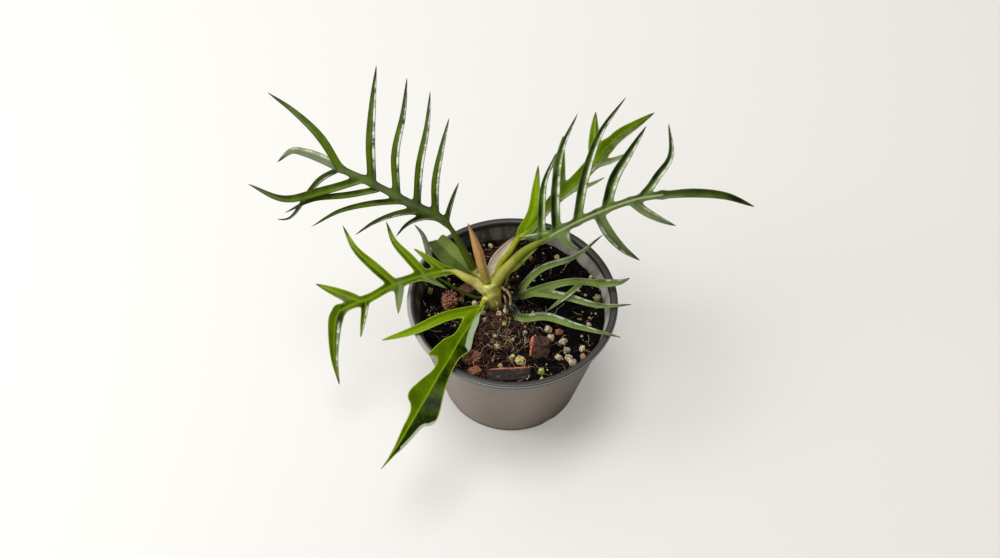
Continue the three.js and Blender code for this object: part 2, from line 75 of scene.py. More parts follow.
def smooth_curve(points: Array, per_span: int) -> Array:
    """Samples a centripetal curve through points.

    Args:
        points: One point a row, in any number of dimensions.
        per_span: Samples between each point and the next.

    Returns:
        The samples, one a row, with the last point at the end.
    """
    points = np.asarray(points, float)
    ends = np.vstack([2 * points[0] - points[1], points, 2 * points[-1] - points[-2]])
    share = np.linspace(0, 1, per_span, endpoint=False)[:, None]
    spans = []
    for i in range(len(points) - 1):
        before, start, end, after = ends[i:i + 4]
        steps = [max(np.linalg.norm(b - a), 1e-9) ** 0.5 for a, b in ((before, start), (start, end), (end, after))]
        leave = (start - before) / steps[0] - (end - before) / (steps[0] + steps[1]) + (end - start) / steps[1]
        arrive = (end - start) / steps[1] - (after - start) / (steps[1] + steps[2]) + (after - end) / steps[2]
        leave, arrive = leave * steps[1], arrive * steps[1]
        square = 3 * (end - start) - 2 * leave - arrive
        cube = 2 * (start - end) + leave + arrive
        spans.append(start + leave * share + square * share**2 + cube * share**3)
    return np.vstack([*spans, points[-1:]])


def lengths_along(line: Array) -> Array:
    """The length of a line up to each of its points."""
    return np.concatenate([[0], np.cumsum(np.linalg.norm(np.diff(line, axis=0), axis=1))])


def smoothstep(value: Array, low: float, high: float) -> Array:
    """A smooth rise from 0 at low to 1 at high."""
    share = np.clip((np.asarray(value, float) - low) / (high - low), 0, 1)
    return share * share * (3 - 2 * share)


def waves(points: Array, size: float, seed: int) -> Array:
    """Smooth random waves.

    Args:
        points: Places, one a row.
        size: The length of a wave, in the units of the places.
        seed: Picks the pattern.

    Returns:
        A height from -1 to 1 for each place.
    """
    shift = Vector((seed * 7.31, seed * 3.17, seed * 5.73))
    return np.array([noise.noise(Vector(p) / size + shift) for p in np.asarray(points, float).tolist()])


@dataclass(frozen=True)
class LeaningPlane:
    """The plane that the leaves are set out on."""

    middle: Point = (-6.7, 12.6, 71.0)
    tilt: float = math.radians(52.7)
    roll: float = math.radians(0.9)

    def axes(self) -> Array:
        """The directions across, up and out, one a row.

        Returns:
            Three unit vectors.
        """
        level = np.array([1.0, 0.0, 0.0])
        out = np.array([0.0, -math.cos(self.tilt), math.sin(self.tilt)])
        level_up = np.cross(out, level)
        across = level * math.cos(self.roll) + level_up * math.sin(self.roll)
        up = level_up * math.cos(self.roll) - level * math.sin(self.roll)
        return np.array([across, up, out])

    def place(self, points: Array) -> Array:
        """Points of the plane as millimetres in the row frame."""
        return np.asarray(points, float) @ self.axes() + np.array(self.middle)


PLANE = LeaningPlane()


@dataclass
class Shell:
    """A mesh in the making: points in millimetres, triangles, and a value a point for each mask."""

    points: Array
    faces: Array
    values: dict[str, Array] = field(default_factory=dict)

    def moved(self, place: LeaningPlane) -> "Shell":
        """The same shell with its points taken from the leaning plane to the row frame."""
        return Shell(place.place(self.points), self.faces, self.values)

    def volume(self) -> float:
        """The volume inside, below nothing where the faces point inwards."""
        a, b, c = (self.points[self.faces[:, i]] for i in range(3))
        return float((np.cross(a, b) * c).sum() / 6)


def joined(shells: list[Shell]) -> Shell:
    """One shell of several, with masks that a shell lacks at nothing.

    Args:
        shells: The shells in order.

    Returns:
        One shell with all their points.
    """
    names = sorted({name for shell in shells for name in shell.values})
    starts = np.cumsum([0] + [len(shell.points) for shell in shells[:-1]])
    values = {
        name: np.concatenate([shell.values.get(name, np.zeros(len(shell.points))) for shell in shells])
        for name in names
    }
    faces = np.vstack([shell.faces + start for shell, start in zip(shells, starts)])
    return Shell(np.vstack([shell.points for shell in shells]), faces, values)


def skin(rings: Array, closed_ends: bool = True) -> Array:
    """Triangles over a row of rings with the same number of points, and a fan over each end.

    Args:
        rings: Points by ring, by place in the ring, by axis.
        closed_ends: Whether the end rings are filled.

    Returns:
        Triangles that count the points ring by ring.
    """
    rows, count = rings.shape[:2]
    row, col = np.meshgrid(np.arange(rows - 1), np.arange(count), indexing="ij")
    a = (row * count + col).ravel()
    b = (row * count + (col + 1) % count).ravel()
    faces = [np.column_stack([a, b, b + count]), np.column_stack([a, b + count, a + count])]
    if closed_ends:
        fan = np.arange(1, count - 1)
        last = (rows - 1) * count
        faces.append(np.column_stack([np.zeros_like(fan), fan + 1, fan]))
        faces.append(np.column_stack([np.full_like(fan, last), last + fan, last + fan + 1]))
    return np.vstack(faces)


def tube(line: Array, radii: Array, sides: int) -> Shell:
    """A round rod along a line, with its ends closed.

    Args:
        line: The middle of each ring.
        radii: The radius of each ring.
        sides: Points in a ring.

    Returns:
        The rod.
    """
    line = np.asarray(line, float)
    radii = np.asarray(radii, float)
    way = np.gradient(line, axis=0)
    way /= np.linalg.norm(way, axis=1)[:, None]
    side = np.cross(way[0], [0.31, 0.22, 0.93])
    turns = np.linspace(0, 2 * np.pi, sides, endpoint=False)
    rings = []
    for centre, along, radius in zip(line, way, radii):
        side = side - along * (side @ along)
        side /= np.linalg.norm(side)
        other = np.cross(along, side)
        rings.append(centre + radius * (np.cos(turns)[:, None] * side + np.sin(turns)[:, None] * other))
    rings = np.array(rings)
    return Shell(rings.reshape(-1, 3), skin(rings))


def lump(half: Array, seed: int, detail: int, rough: float, size: float, square: float = 3.0) -> Shell:
    """A broken lump: a ball squared up towards a block, with waves on it.

    Args:
        half: Half sizes.
        seed: Picks the waves.
        detail: Splits of the ball it starts from.
        rough: The height of the waves, as a share of the lump.
        size: The length of a wave, as a share of the lump.
        square: How boxy it is, from 2 for a ball upwards.

    Returns:
        The lump round the origin.
    """
    ball = bpy.data.meshes.new("ball")
    work = bmesh.new()
    bmesh.ops.create_icosphere(work, subdivisions=detail, radius=1)
    work.to_mesh(ball)
    work.free()
    points = np.array([v.co for v in ball.vertices])
    faces = np.array([p.vertices for p in ball.polygons])
    bpy.data.meshes.remove(ball)
    squared = points / (np.abs(points) ** square).sum(1)[:, None] ** (1 / square)
    swell = 1 + rough * (waves(points, size, seed) + 0.5 * waves(points, size / 2.3, seed + 1))
    return Shell(squared * swell[:, None] * np.asarray(half), faces)


def turned(shell: Shell, degrees: Point, at: Point) -> Shell:
    """The shell turned about X, Y and Z in that order, then moved.

    Args:
        shell: The shell.
        degrees: Its turns.
        at: Where its origin goes.

    Returns:
        The shell in place.
    """
    rx, ry, rz = (math.radians(d) for d in degrees)
    turn = Matrix.Rotation(rz, 3, "Z") @ Matrix.Rotation(ry, 3, "Y") @ Matrix.Rotation(rx, 3, "X")
    return Shell(shell.points @ np.array(turn).T + np.asarray(at), shell.faces, shell.values)


def placed(name: str, data: bpy.types.ID) -> Object:
    """A new object in the scene.

    Args:
        name: Its name.
        data: Its mesh, light or camera.

    Returns:
        The object.
    """
    obj = bpy.data.objects.new(name, data)
    bpy.context.scene.collection.objects.link(obj)
    return obj


def evaluated(obj: Object) -> bpy.types.Mesh:
    """The object's mesh with its modifiers worked in."""
    return bpy.data.meshes.new_from_object(obj.evaluated_get(bpy.context.evaluated_depsgraph_get()))


def mesh_object(name: str, shell: Shell) -> Object:
    """A smooth Blender object of a shell, in metres, with its masks as attributes.

    Args:
        name: Its name.
        shell: Its mesh in millimetres.

    Returns:
        The object.
    """
    mesh = bpy.data.meshes.new(name)
    mesh.from_pydata((shell.points * MM).tolist(), [], shell.faces.tolist())
    for key, values in shell.values.items():
        attribute = mesh.attributes.new(key, "FLOAT", "POINT")
        attribute.data.foreach_set("value", values.astype(np.float32))
    mesh.polygons.foreach_set("use_smooth", np.ones(len(mesh.polygons), bool))
    mesh.update()
    return placed(name, mesh)


def finished(obj: Object, material: Material, slot: Slot, *nodes: str) -> Object:
    """Gives a piece its material and its body, and hides the CAD nodes it stands for.

    Args:
        obj: The piece.
        material: Its material.
        slot: Its slot; not used.
        *nodes: The CAD nodes.

    Returns:
        The piece.
    """
    obj.data.materials.clear()
    obj.data.materials.append(material)
    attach(obj, BODY)
    if nodes:
        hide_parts(*nodes)
    LOG.info("%s: %d faces", obj.name, len(obj.data.polygons))
    return obj


Socket = bpy.types.NodeSocket
Colour = Point


def rgb(red: int, green: int, blue: int) -> Colour:
    """A screen colour, 0 to 255, as the linear one that a shader takes."""
    shares = (red / 255, green / 255, blue / 255)
    return tuple(c / 12.92 if c <= 0.04045 else ((c + 0.055) / 1.055) ** 2.4 for c in shares)


class Tree:
    """Writes nodes into one tree."""

    def __init__(self, tree: bpy.types.NodeTree) -> None:
        """Starts on a tree."""
        self.tree = tree

    def add(self, kind: str, **settings: object) -> bpy.types.Node:
        """A new node with its settings made.

        Args:
            kind: The node's type.
            **settings: Its settings.

        Returns:
            The node.
        """
        node = self.tree.nodes.new(kind)
        for key, value in settings.items():
            setattr(node, key, value)
        return node

    def plug(self, socket: Socket, value: object) -> None:
        """Links a socket, or sets a number or colour on it.

        Args:
            socket: An input.
            value: An output to link, or a plain value.
        """
        if isinstance(value, bpy.types.NodeSocket):
            self.tree.links.new(value, socket)
        elif isinstance(value, tuple) and socket.type == "RGBA":
            socket.default_value = (*value[:3], 1)
        else:
            socket.default_value = value


class Nodes(Tree):
    """Writes shader nodes, into a material or a group."""

    def __init__(self, tree: bpy.types.NodeTree) -> None:
        """Starts with the object's own coordinates."""
        super().__init__(tree)
        self.coordinates = self.add("ShaderNodeTexCoord").outputs["Object"]

    def axes(self) -> list[Socket]:
        """The object's own X, Y and Z.

        Returns:
            Their sockets.
        """
        node = self.add("ShaderNodeSeparateXYZ")
        self.plug(node.inputs[0], self.coordinates)
        return list(node.outputs)

    def mask(self, name: str) -> Socket:
        """The value of a mesh attribute."""
        return self.add("ShaderNodeAttribute", attribute_name=name).outputs["Fac"]

    def sum(self, operation: str, first: object, second: object = 0.0) -> Socket:
        """One step of arithmetic.

        Args:
            operation: Its name.
            first: A value.
            second: Another.

        Returns:
            The result.
        """
        node = self.add("ShaderNodeMath", operation=operation)
        self.plug(node.inputs[0], first)
        self.plug(node.inputs[1], second)
        return node.outputs[0]

    def times(self, first: object, second: object) -> Socket:
        """One value times another."""
        return self.sum("MULTIPLY", first, second)

    def rise(self, value: Socket, low: object, high: object, most: object = 1.0) -> Socket:
        """A smooth rise from 0 at low to the most at high; low may be above high.

        Args:
            value: What is read.
            low: Where it starts.
            high: Where it ends.
            most: The result there.

        Returns:
            The result.
        """
        node = self.add("ShaderNodeMapRange", interpolation_type="SMOOTHSTEP")
        for label, given in (("Value", value), ("From Min", low), ("From Max", high), ("To Max", most)):
            self.plug(node.inputs[label], given)
        return node.outputs["Result"]

    def blend(self, share: object, first: object, second: object, kind: str = "MIX") -> Socket:
        """A mix of two colours.

        Args:
            share: How much of the second shows.
            first: A colour.
            second: Another.
            kind: The kind of mix.

        Returns:
            The colour.
        """
        node = self.add("ShaderNodeMix", data_type="RGBA", blend_type=kind, clamp_factor=True)
        self.plug(node.inputs[0], share)
        self.plug(node.inputs[6], first)
        self.plug(node.inputs[7], second)
        return node.outputs[2]

    def place(self, effect: "Effect", **values: object) -> dict[str, Socket]:
        """Places a shared effect with its own values, and hands back its outputs by name.

        Args:
            effect: The effect.
            **values: Its inputs, in small letters.

        Returns:
            Its outputs.
        """
        node = self.add("ShaderNodeGroup", node_tree=effect.group())
        for label, value in values.items():
            self.plug(node.inputs[label.replace("_", " ").title()], value)
        return {socket.name: socket for socket in node.outputs}

    def mottle(self, scale: float, detail: float = 3.0, stretch: Colour = (1.0, 1.0, 1.0)) -> Socket:
        """Smooth random patches from 0 to 1, in waves a metre."""
        return self.place(MOTTLE, scale=scale, detail=detail, stretch=stretch)["Value"]

    def patches(self, scale: float, detail: float, low: float, high: float, most: float = 1.0,
                stretch: Colour = (1.0, 1.0, 1.0)) -> Socket:
        """Patches cut out of the mottle between two levels."""
        return self.place(MOTTLE, scale=scale, detail=detail, low=low, high=high, most=most,
                          stretch=stretch)["Mask"]


Built = dict[str, Socket]


@dataclass(frozen=True)
class Effect:
    """A shader effect that several materials place, built once as a node group.

    Attributes:
        inputs: The name, kind and usual value of each input.
        outputs: The name and kind of each output.
        build: Writes the nodes from the group's inputs and hands back its outputs.
    """

    name: str
    inputs: tuple[tuple[str, str, object], ...]
    outputs: tuple[tuple[str, str], ...]
    build: Callable[[Nodes, Built], Built]

    def group(self) -> bpy.types.NodeTree:
        """The node group, built when it is first asked for.

        Returns:
            The group.
        """
        found = bpy.data.node_groups.get(self.name)
        if found:
            return found
        tree = bpy.data.node_groups.new(self.name, "ShaderNodeTree")
        for label, kind, usual in self.inputs:
            socket = tree.interface.new_socket(label, in_out="INPUT", socket_type=kind)
            socket.default_value = usual
        for label, kind in self.outputs:
            tree.interface.new_socket(label, in_out="OUTPUT", socket_type=kind)
        nodes = Nodes(tree)
        given = {socket.name: socket for socket in nodes.add("NodeGroupInput").outputs}
        end = nodes.add("NodeGroupOutput")
        for label, socket in self.build(nodes, given).items():
            nodes.plug(end.inputs[label], socket)
        return tree


VALUE, COLOUR, VECTOR = "NodeSocketFloat", "NodeSocketColor", "NodeSocketVector"


def build_mottle(make: Nodes, given: Built) -> Built:
    """Noise on the object's own coordinates, whole and cut between two levels.

    Args:
        make: Writes the nodes.
        given: The group's inputs.

    Returns:
        Its outputs.
    """
    mapping = make.add("ShaderNodeMapping")
    make.plug(mapping.inputs["Vector"], make.coordinates)
    make.plug(mapping.inputs["Scale"], given["Stretch"])
    noise_node = make.add("ShaderNodeTexNoise")
    make.plug(noise_node.inputs["Vector"], mapping.outputs[0])
    make.plug(noise_node.inputs["Scale"], given["Scale"])
    make.plug(noise_node.inputs["Detail"], given["Detail"])
    value = noise_node.outputs["Fac"]
    return {"Value": value, "Mask": make.rise(value, given["Low"], given["High"], given["Most"])}


MOTTLE = Effect("mottle", (("Scale", VALUE, 100.0), ("Detail", VALUE, 3.0), ("Stretch", VECTOR, (1.0, 1.0, 1.0)),
                           ("Low", VALUE, 0.4), ("High", VALUE, 0.6), ("Most", VALUE, 1.0)),
                (("Value", VALUE), ("Mask", VALUE)), build_mottle)


def build_lines(make: Nodes, given: Built) -> Built:
    """Fine ridges round a rolled strip."""
    wave = make.sum("SINE", make.times(make.mask("turn"), given["Count"]))
    return {"Mask": make.rise(wave, 0.2, 1.0, given["Most"]), "Height": wave}


LINES = Effect("lines", (("Count", VALUE, 80.0), ("Most", VALUE, 0.3)), (("Mask", VALUE), ("Height", VALUE)),
               build_lines)


def build_leaf_skin(make: Nodes, given: Built) -> Built:
    """The colour and relief of a leaf from its masks.

    Args:
        make: Writes the nodes.
        given: The group's inputs.

    Returns:
        Its outputs.
    """
    uneven = make.times(make.sum("SUBTRACT", make.mottle(110, 4), 0.5), 1.1)
    colour = make.blend(make.sum("ADD", make.mask("tone"), uneven), given["Dark"], given["Bright"])
    veins = make.sum("SINE", make.times(make.mask("vein"), 3.0))
    vein_share = make.times(make.rise(veins, 0.6, 1.0), given["Vein Share"])
    colour = make.blend(vein_share, colour, given["Rib"])
    rib = make.rise(make.mask("rib"), given["Rib Width"], 0.1, given["Rib Share"])
    colour = make.blend(rib, colour, given["Rib"])
    rim = make.rise(make.mask("margin"), 0.65, 0.1, given["Rim Share"])
    colour = make.blend(rim, colour, given["Rim"])
    # Painted highlight: pale silver streaks along one side of the lobes.
    sheen = make.times(make.mask("sheen"), make.patches(200, 4, 0.3, 0.5, 0.85))
    colour = make.blend(sheen, colour, given["Silver"])
    # Painted glints: white specks along the painted highlight streaks.
    painted_glint = make.times(make.mask("sheen"), make.patches(230, 4, 0.46, 0.54, 0.9))
    colour = make.blend(painted_glint, colour, PAINTED_GLINT)
    # Pale parts, partly the leaf's own pale colour and partly painted reflection.
    colour = make.blend(make.mask("silver"), colour, given["Silver"])
    old = make.times(make.rise(make.mask("along"), 0.8, 0.97, given["Tip Share"]),
                   make.patches(500, 2, 0.2, 0.45))
    colour = make.blend(old, colour, given["Tip"])
    colour = make.blend(make.mask("under"), colour, given["Under"])
    stalk = make.blend(make.patches(180, 3, 0.42, 0.62, 0.22, (1.0, 1.0, 0.4)), given["Stalk"], given["Dark"])
    colour = make.blend(make.mask("stalk"), colour, stalk)
    colour = make.blend(make.patches(1400, 2, 0.3, 0.8, 0.25), colour, given["Dark"], "MULTIPLY")
    return {"Colour": colour, "Height": make.sum("ADD", make.mottle(1500, 2), make.times(veins, 0.08))}


# Colour of the painted glints.
PAINTED_GLINT: Colour = (0.9, 0.92, 0.86)
LEAF_COLOURS = ("Dark", "Bright", "Silver", "Under", "Rib", "Rim", "Tip", "Stalk")
LEAF_SHARES = ("Rib Share", "Rib Width", "Rim Share", "Tip Share", "Vein Share")
LEAF_FIELDS = [label.lower().replace(" ", "_") for label in LEAF_COLOURS + LEAF_SHARES]
LEAF_SKIN = Effect("leaf_skin", (*((label, COLOUR, (0.2, 0.3, 0.1, 1.0)) for label in LEAF_COLOURS),
                                 *((label, VALUE, 0.5) for label in LEAF_SHARES)),
                   (("Colour", COLOUR), ("Height", VALUE)), build_leaf_skin)


class Finish(Nodes):
    """Builds one material, node by node."""

    def __init__(self, name: str, roughness: float = 0.5) -> None:
        """Starts a material with a Principled shader of one roughness.

        Args:
            name: Its name.
            roughness: Its roughness all over.
        """
        self.material = bpy.data.materials.new(name)
        self.material.use_nodes = True
        super().__init__(self.material.node_tree)
        self.shader = self.tree.nodes["Principled BSDF"]
        self.shader.inputs["Roughness"].default_value = roughness

    def constant(self, **values: float) -> None:
        """Sets numbers that are the same all over the surface on the shader's own sockets."""
        for label, value in values.items():
            self.shader.inputs[label.replace("_", " ").title().replace("Ior", "IOR")].default_value = value

    def colour(self, value: object) -> None:
        """Sets the base colour."""
        self.plug(self.shader.inputs["Base Color"], value)

    def rough(self, value: Socket) -> None:
        """Sets a roughness that changes over the surface."""
        self.plug(self.shader.inputs["Roughness"], value)

    def bump(self, height: Socket, depth: float, strength: float = 1.0) -> None:
        """Raises the surface by a height times a depth in metres.

        Args:
            height: What is raised.
            depth: Metres for a height of 1.
            strength: How much shows.
        """
        node = self.add("ShaderNodeBump")
        self.plug(node.inputs["Height"], height)
        node.inputs["Distance"].default_value = depth
        node.inputs["Strength"].default_value = strength
        self.plug(self.shader.inputs["Normal"], node.outputs[0])

    def translucent(self, colour: object, share: float) -> None:
        """Lets a share of the light through, in a colour.

        Args:
            colour: The colour.
            share: How much gets through.
        """
        glow = self.add("ShaderNodeBsdfTranslucent")
        self.plug(glow.inputs["Color"], colour)
        mix = self.add("ShaderNodeMixShader")
        mix.inputs[0].default_value = share
        self.plug(mix.inputs[1], self.shader.outputs[0])
        self.plug(mix.inputs[2], glow.outputs[0])
        self.plug(self.tree.nodes["Material Output"].inputs["Surface"], mix.outputs[0])


@dataclass(frozen=True)
class LeafFinish:
    """The colours of one leaf and its gloss."""

    dark: Colour = rgb(34, 50, 6)
    bright: Colour = rgb(124, 150, 14)
    # Colour of the pale parts and of the painted highlights.
    silver: Colour = rgb(196, 204, 178)
    under: Colour = rgb(104, 126, 60)
    rib: Colour = rgb(140, 160, 60)
    rim: Colour = rgb(36, 42, 12)
    tip: Colour = rgb(62, 54, 42)
    stalk: Colour = rgb(86, 98, 26)
    rib_share: float = 0.25
    rib_width: float = 0.9
    rim_share: float = 0.5
    tip_share: float = 0.9
    vein_share: float = 0.12
    gloss: float = 0.36
    shine: float = 0.05
    coat: float = 0.12

    def material(self, name: str) -> Material:
        """The material of one leaf, read from its masks.

        Args:
            name: Its name.

        Returns:
            The material.
        """
        make = Finish(name, self.gloss)
        make.constant(specular_ior_level=self.shine, coat_weight=self.coat, coat_roughness=0.12)
        skin_made = make.place(LEAF_SKIN, **{name: getattr(self, name) for name in LEAF_FIELDS})
        make.colour(skin_made["Colour"])
        make.bump(skin_made["Height"], 0.00006, 0.6)
        make.translucent(skin_made["Colour"], 0.1)
        return make.material


@dataclass(frozen=True)
class Lobe:
    """One finger of a blade.

    Attributes:
        at: Its place on the rib, counting the rib's points from nothing.
        tip: Where it ends, in plane millimetres.
        bows: How far it bows to the left at a third and at two thirds.
        rise: How far its middle stands out.
        width: Its full width.
        passes: Points that it winds through instead of bowing.
        tone: How bright it is, or the leaf's own.
        silver: How pale it is, partly as painted reflection, or the leaf's own.
        painted_side_light: How much brighter its left side is than its right, or the leaf's own.
        sheen: A silver streak on its left side, or on its right below nothing, or the leaf's own.
        layer: A lobe that crosses another is in a layer of its own.
        widest: The share of its length at which it has its full width.
        taper: How long it keeps its width before it narrows.
        sharp: How thin it is towards its tip.
        neck: Its share of width where it leaves the rib.
    """

    at: float
    tip: Point
    bows: tuple[float, float] = (0.0, 0.0)
    rise: float = 1.0
    width: float = 3.0
    passes: tuple[Point, ...] = ()
    tone: float | None = None
    silver: float | None = None
    # Painted light and shade: how much brighter the left side is than the right.
    painted_side_light: float | None = None
    # Painted highlight: a silver streak along one side of the lobe.
    sheen: float | None = None
    layer: int = 0
    widest: float = 0.35
    taper: float = 2.0
    sharp: float = 0.85
    neck: float = 0.6


@dataclass
class Strip:
    """A strip of blade along a midrib, with its reach to each side."""

    line: Array
    left: Array
    right: Array
    tone: float
    silver: float
    fold: float
    along: Array
    # Painted light and shade: how much brighter the left side is than the right.
    painted_side_light: float = 0.0
    # Painted highlight: a silver streak along one side, its sign picking the side.
    sheen: float = 0.0
    outline: Array | None = None
    plain: bool = False

    def read(self, spots: Array) -> Array:
        """Measures flat spots against the strip.

        Args:
            spots: Places on the plane, one a row.

        Returns:
            For each spot its distance outside the margin, its distance from the midrib, the height there,
            the share along, which side it is on, and the length along the midrib.
        """
        start, way = self.line[:-1, :2], np.diff(self.line[:, :2], axis=0)
        rel = spots[:, None, :] - start
        share = np.clip((rel * way).sum(2) / (way**2).sum(1), 0, 1)
        off = rel - share[..., None] * way
        square = (off**2).sum(2)
        nearest = square.argmin(1)
        rows = np.arange(len(spots))
        share = share[rows, nearest]
        distance = np.sqrt(square[rows, nearest])
        near = rel[rows, nearest]
        turn = way[nearest, 0] * near[:, 1] - way[nearest, 1] * near[:, 0]
        side = np.tanh(np.sign(turn) * distance / 0.6)
        lengths = lengths_along(self.line)

        def between(values: Array) -> Array:
            """A value of the midrib's points at each spot's nearest place."""
            return values[nearest] * (1 - share) + values[nearest + 1] * share

        half = between(self.right) * (0.5 - side / 2) + between(self.left) * (0.5 + side / 2)
        outside = distance - half
        if self.outline is not None:
            outside = outline_distance(self.outline, spots)
        return np.column_stack([outside, distance, between(self.line[:, 2]), between(self.along), side,
                                between(lengths)])


def outline_distance(outline: Array, spots: Array) -> Array:
    """How far each spot lies outside a closed outline, below nothing inside it.

    Args:
        outline: The corners in order.
        spots: Flat spots.

    Returns:
        A distance a spot.
    """
    start, way = outline, np.roll(outline, -1, axis=0) - outline
    best = np.full(len(spots), np.inf)
    inside = np.zeros(len(spots), bool)
    for (x, y), (dx, dy) in zip(start, way):
        rel_x, rel_y = spots[:, 0] - x, spots[:, 1] - y
        share = np.clip((rel_x * dx + rel_y * dy) / (dx * dx + dy * dy), 0, 1)
        best = np.minimum(best, (rel_x - share * dx) ** 2 + (rel_y - share * dy) ** 2)
        crosses = (spots[:, 1] >= min(y, y + dy)) & (spots[:, 1] < max(y, y + dy))
        if dy:
            inside ^= crosses & (rel_x < dx * rel_y / dy)
    return np.sqrt(best) * np.where(inside, -1, 1)


@dataclass(frozen=True)
class Sheet:
    """How strips of blade become one closed sheet."""

    step: float = 0.36
    fillet: float = 0.9
    height_blend: float = 1.1
    reach: float = 4.0
    edge: float = 0.3
    middle: float = 0.28
    keel: float = 0.35
    fold_round: float = 0.35
    snap: float = 0.32
    fade: float = 0.22
    CHANNELS = ("height", "along", "tone", "silver", "sheen", "vein")

    def margin(self, strips: list[Strip], spots: Array) -> Array:
        """How far spots are outside the joined outline of all strips, with round corners between lobes.

        Args:
            strips: All strips.
            spots: Flat spots.

        Returns:
            A distance a spot.
        """
        total = np.zeros(len(spots))
        for strip in strips:
            rows = self.close(strip, spots)
            total[rows] += np.exp(-strip.read(spots[rows])[:, 0] / self.fillet)
        return -self.fillet * np.log(np.maximum(total, 1e-12))

    def close(self, strip: Strip, spots: Array) -> Array:
        """The spots near enough to a strip to be measured against it.

        Args:
            strip: One strip.
            spots: Flat spots.

        Returns:
            Which spots, by number.
        """
        reach = self.reach + max(strip.left.max(), strip.right.max())
        ground = strip.line[:, :2] if strip.outline is None else np.vstack([strip.line[:, :2], strip.outline])
        low, high = ground.min(0) - reach, ground.max(0) + reach
        return np.flatnonzero(((spots >= low) & (spots <= high)).all(1))

    def build(self, strips: list[Strip]) -> Shell:
        """Cuts the joined outline out of a fine net and gives it folds and thickness.

        Args:
            strips: All strips.

        Returns:
            The closed sheet.
        """
        ground = np.vstack([s.line[:, :2] for s in strips] + [s.outline for s in strips if s.outline is not None])
        reach = max(max(s.left.max(), s.right.max()) for s in strips) + 1.5
        low, high = ground.min(0) - reach, ground.max(0) + reach
        across = np.arange(low[0], high[0], self.step)
        up = np.arange(low[1], high[1], self.step)
        net = np.stack(np.meshgrid(across, up), axis=-1)
        outside = self.margin(strips, net.reshape(-1, 2)).reshape(net.shape[:2])
        flat, faces = self.cut(net, outside)
        return self.thicken(strips, flat, faces)

    def cut(self, net: Array, outside: Array) -> tuple[Array, Array]:
        """Triangles of a net inside the line where a field is nothing.

        Args:
            net: Spots of the net by row and column.
            outside: The field at each spot, below nothing inside.

        Returns:
            The spots that are used and the triangles over them.
        """
        slope = np.stack(np.gradient(outside, self.step)[::-1], axis=-1)
        steep = np.maximum((slope**2).sum(-1), 0.05)
        near = (np.abs(outside) < self.snap * self.step * np.sqrt(steep)) & (steep > 0.3)
        spots = np.where(near[..., None], net - (outside / steep)[..., None] * slope, net).reshape(-1, 2)
        level = np.where(near, 0.0, outside).ravel()
        rows, columns = outside.shape
        row, col = np.meshgrid(np.arange(rows - 1), np.arange(columns - 1), indexing="ij")
        a = (row * columns + col).ravel()
        b, c, d = a + 1, a + columns + 1, a + columns
        even = ((row + col) % 2 == 0).ravel()
        first = np.where(even[:, None], np.column_stack([a, b, c]), np.column_stack([a, b, d]))
        second = np.where(even[:, None], np.column_stack([a, c, d]), np.column_stack([b, c, d]))
        triangles = np.vstack([first, second])
        inside = level[triangles] <= 0
        count = inside.sum(1)
        whole = triangles[count == 3]
        lone = self.rolled(triangles[count == 1], inside[count == 1])
        pair = self.rolled(triangles[count == 2], ~inside[count == 2])
        ends = [(lone[:, 0], lone[:, 1]), (lone[:, 0], lone[:, 2]), (pair[:, 1], pair[:, 0]),
                (pair[:, 2], pair[:, 0])]
        keys = [low * len(spots) + high for low, high in ends]
        unique, place = np.unique(np.concatenate(keys), return_inverse=True)
        kept, lost = unique // len(spots), unique % len(spots)
        share = level[kept] / np.minimum(level[kept] - level[lost], -1e-9)
        cuts = spots[kept] + (spots[lost] - spots[kept]) * share[:, None]
        names = np.where(level[kept] == 0, kept, len(spots) + np.arange(len(unique)))[place]
        sizes = np.cumsum([len(key) for key in keys])
        lone_b, lone_c, pair_b, pair_c = np.split(names, sizes[:-1])
        faces = np.vstack([
            whole,
            np.column_stack([lone[:, 0], lone_b, lone_c]),
            np.column_stack([pair_b, pair[:, 1], pair[:, 2]]),
            np.column_stack([pair_b, pair[:, 2], pair_c]),
        ])
        good = (faces[:, 0] != faces[:, 1]) & (faces[:, 1] != faces[:, 2]) & (faces[:, 2] != faces[:, 0])
        used, faces = np.unique(faces[good], return_inverse=True)
        return np.vstack([spots, cuts])[used], faces.reshape(-1, 3)

    @staticmethod
    def rolled(triangles: Array, odd: Array) -> Array:
        """Triangles turned so that their odd corner comes first."""
        rows = np.arange(len(triangles))[:, None]
        return triangles[rows, (odd.argmax(1)[:, None] + np.arange(3)) % 3]

    def thicken(self, strips: list[Strip], flat: Array, faces: Array) -> Shell:
        """A closed sheet over flat spots, folded along its midribs.

        Args:
            strips: All strips.
            flat: Flat spots.
            faces: Triangles over them.

        Returns:
            The sheet with its masks.
        """
        weight = np.zeros(len(flat))
        sums = {name: np.zeros(len(flat)) for name in self.CHANNELS}
        rib = np.full(len(flat), FAR)
        shown = np.full(len(flat), FAR)
        total = np.zeros(len(flat))
        for strip in strips:
            rows = self.close(strip, flat)
            outside, distance, height, along, side, length = strip.read(flat[rows]).T
            share = np.exp(-np.clip(outside, -20, 20) / self.height_blend)
            total[rows] += np.exp(-outside / self.fillet)
            rib[rows] = np.minimum(rib[rows], distance)
            if not strip.plain:
                shown[rows] = np.minimum(shown[rows], distance)
            crease = strip.fold * (np.sqrt(distance**2 + self.fold_round**2) - self.fold_round)
            weight[rows] += share
            # Painted highlight: a pale streak along one side of each strip, away from its ends.
            across = np.sign(strip.sheen) * side * distance / np.maximum(distance - outside, 0.2)
            streak = smoothstep(across, 0.25, 0.5) * (1 - smoothstep(across, 0.74, 0.98))
            done = along / strip.along[-1]
            streak = abs(strip.sheen) * streak * smoothstep(done, 0.06, 0.3) * (1 - smoothstep(done, 0.88, 1.0))
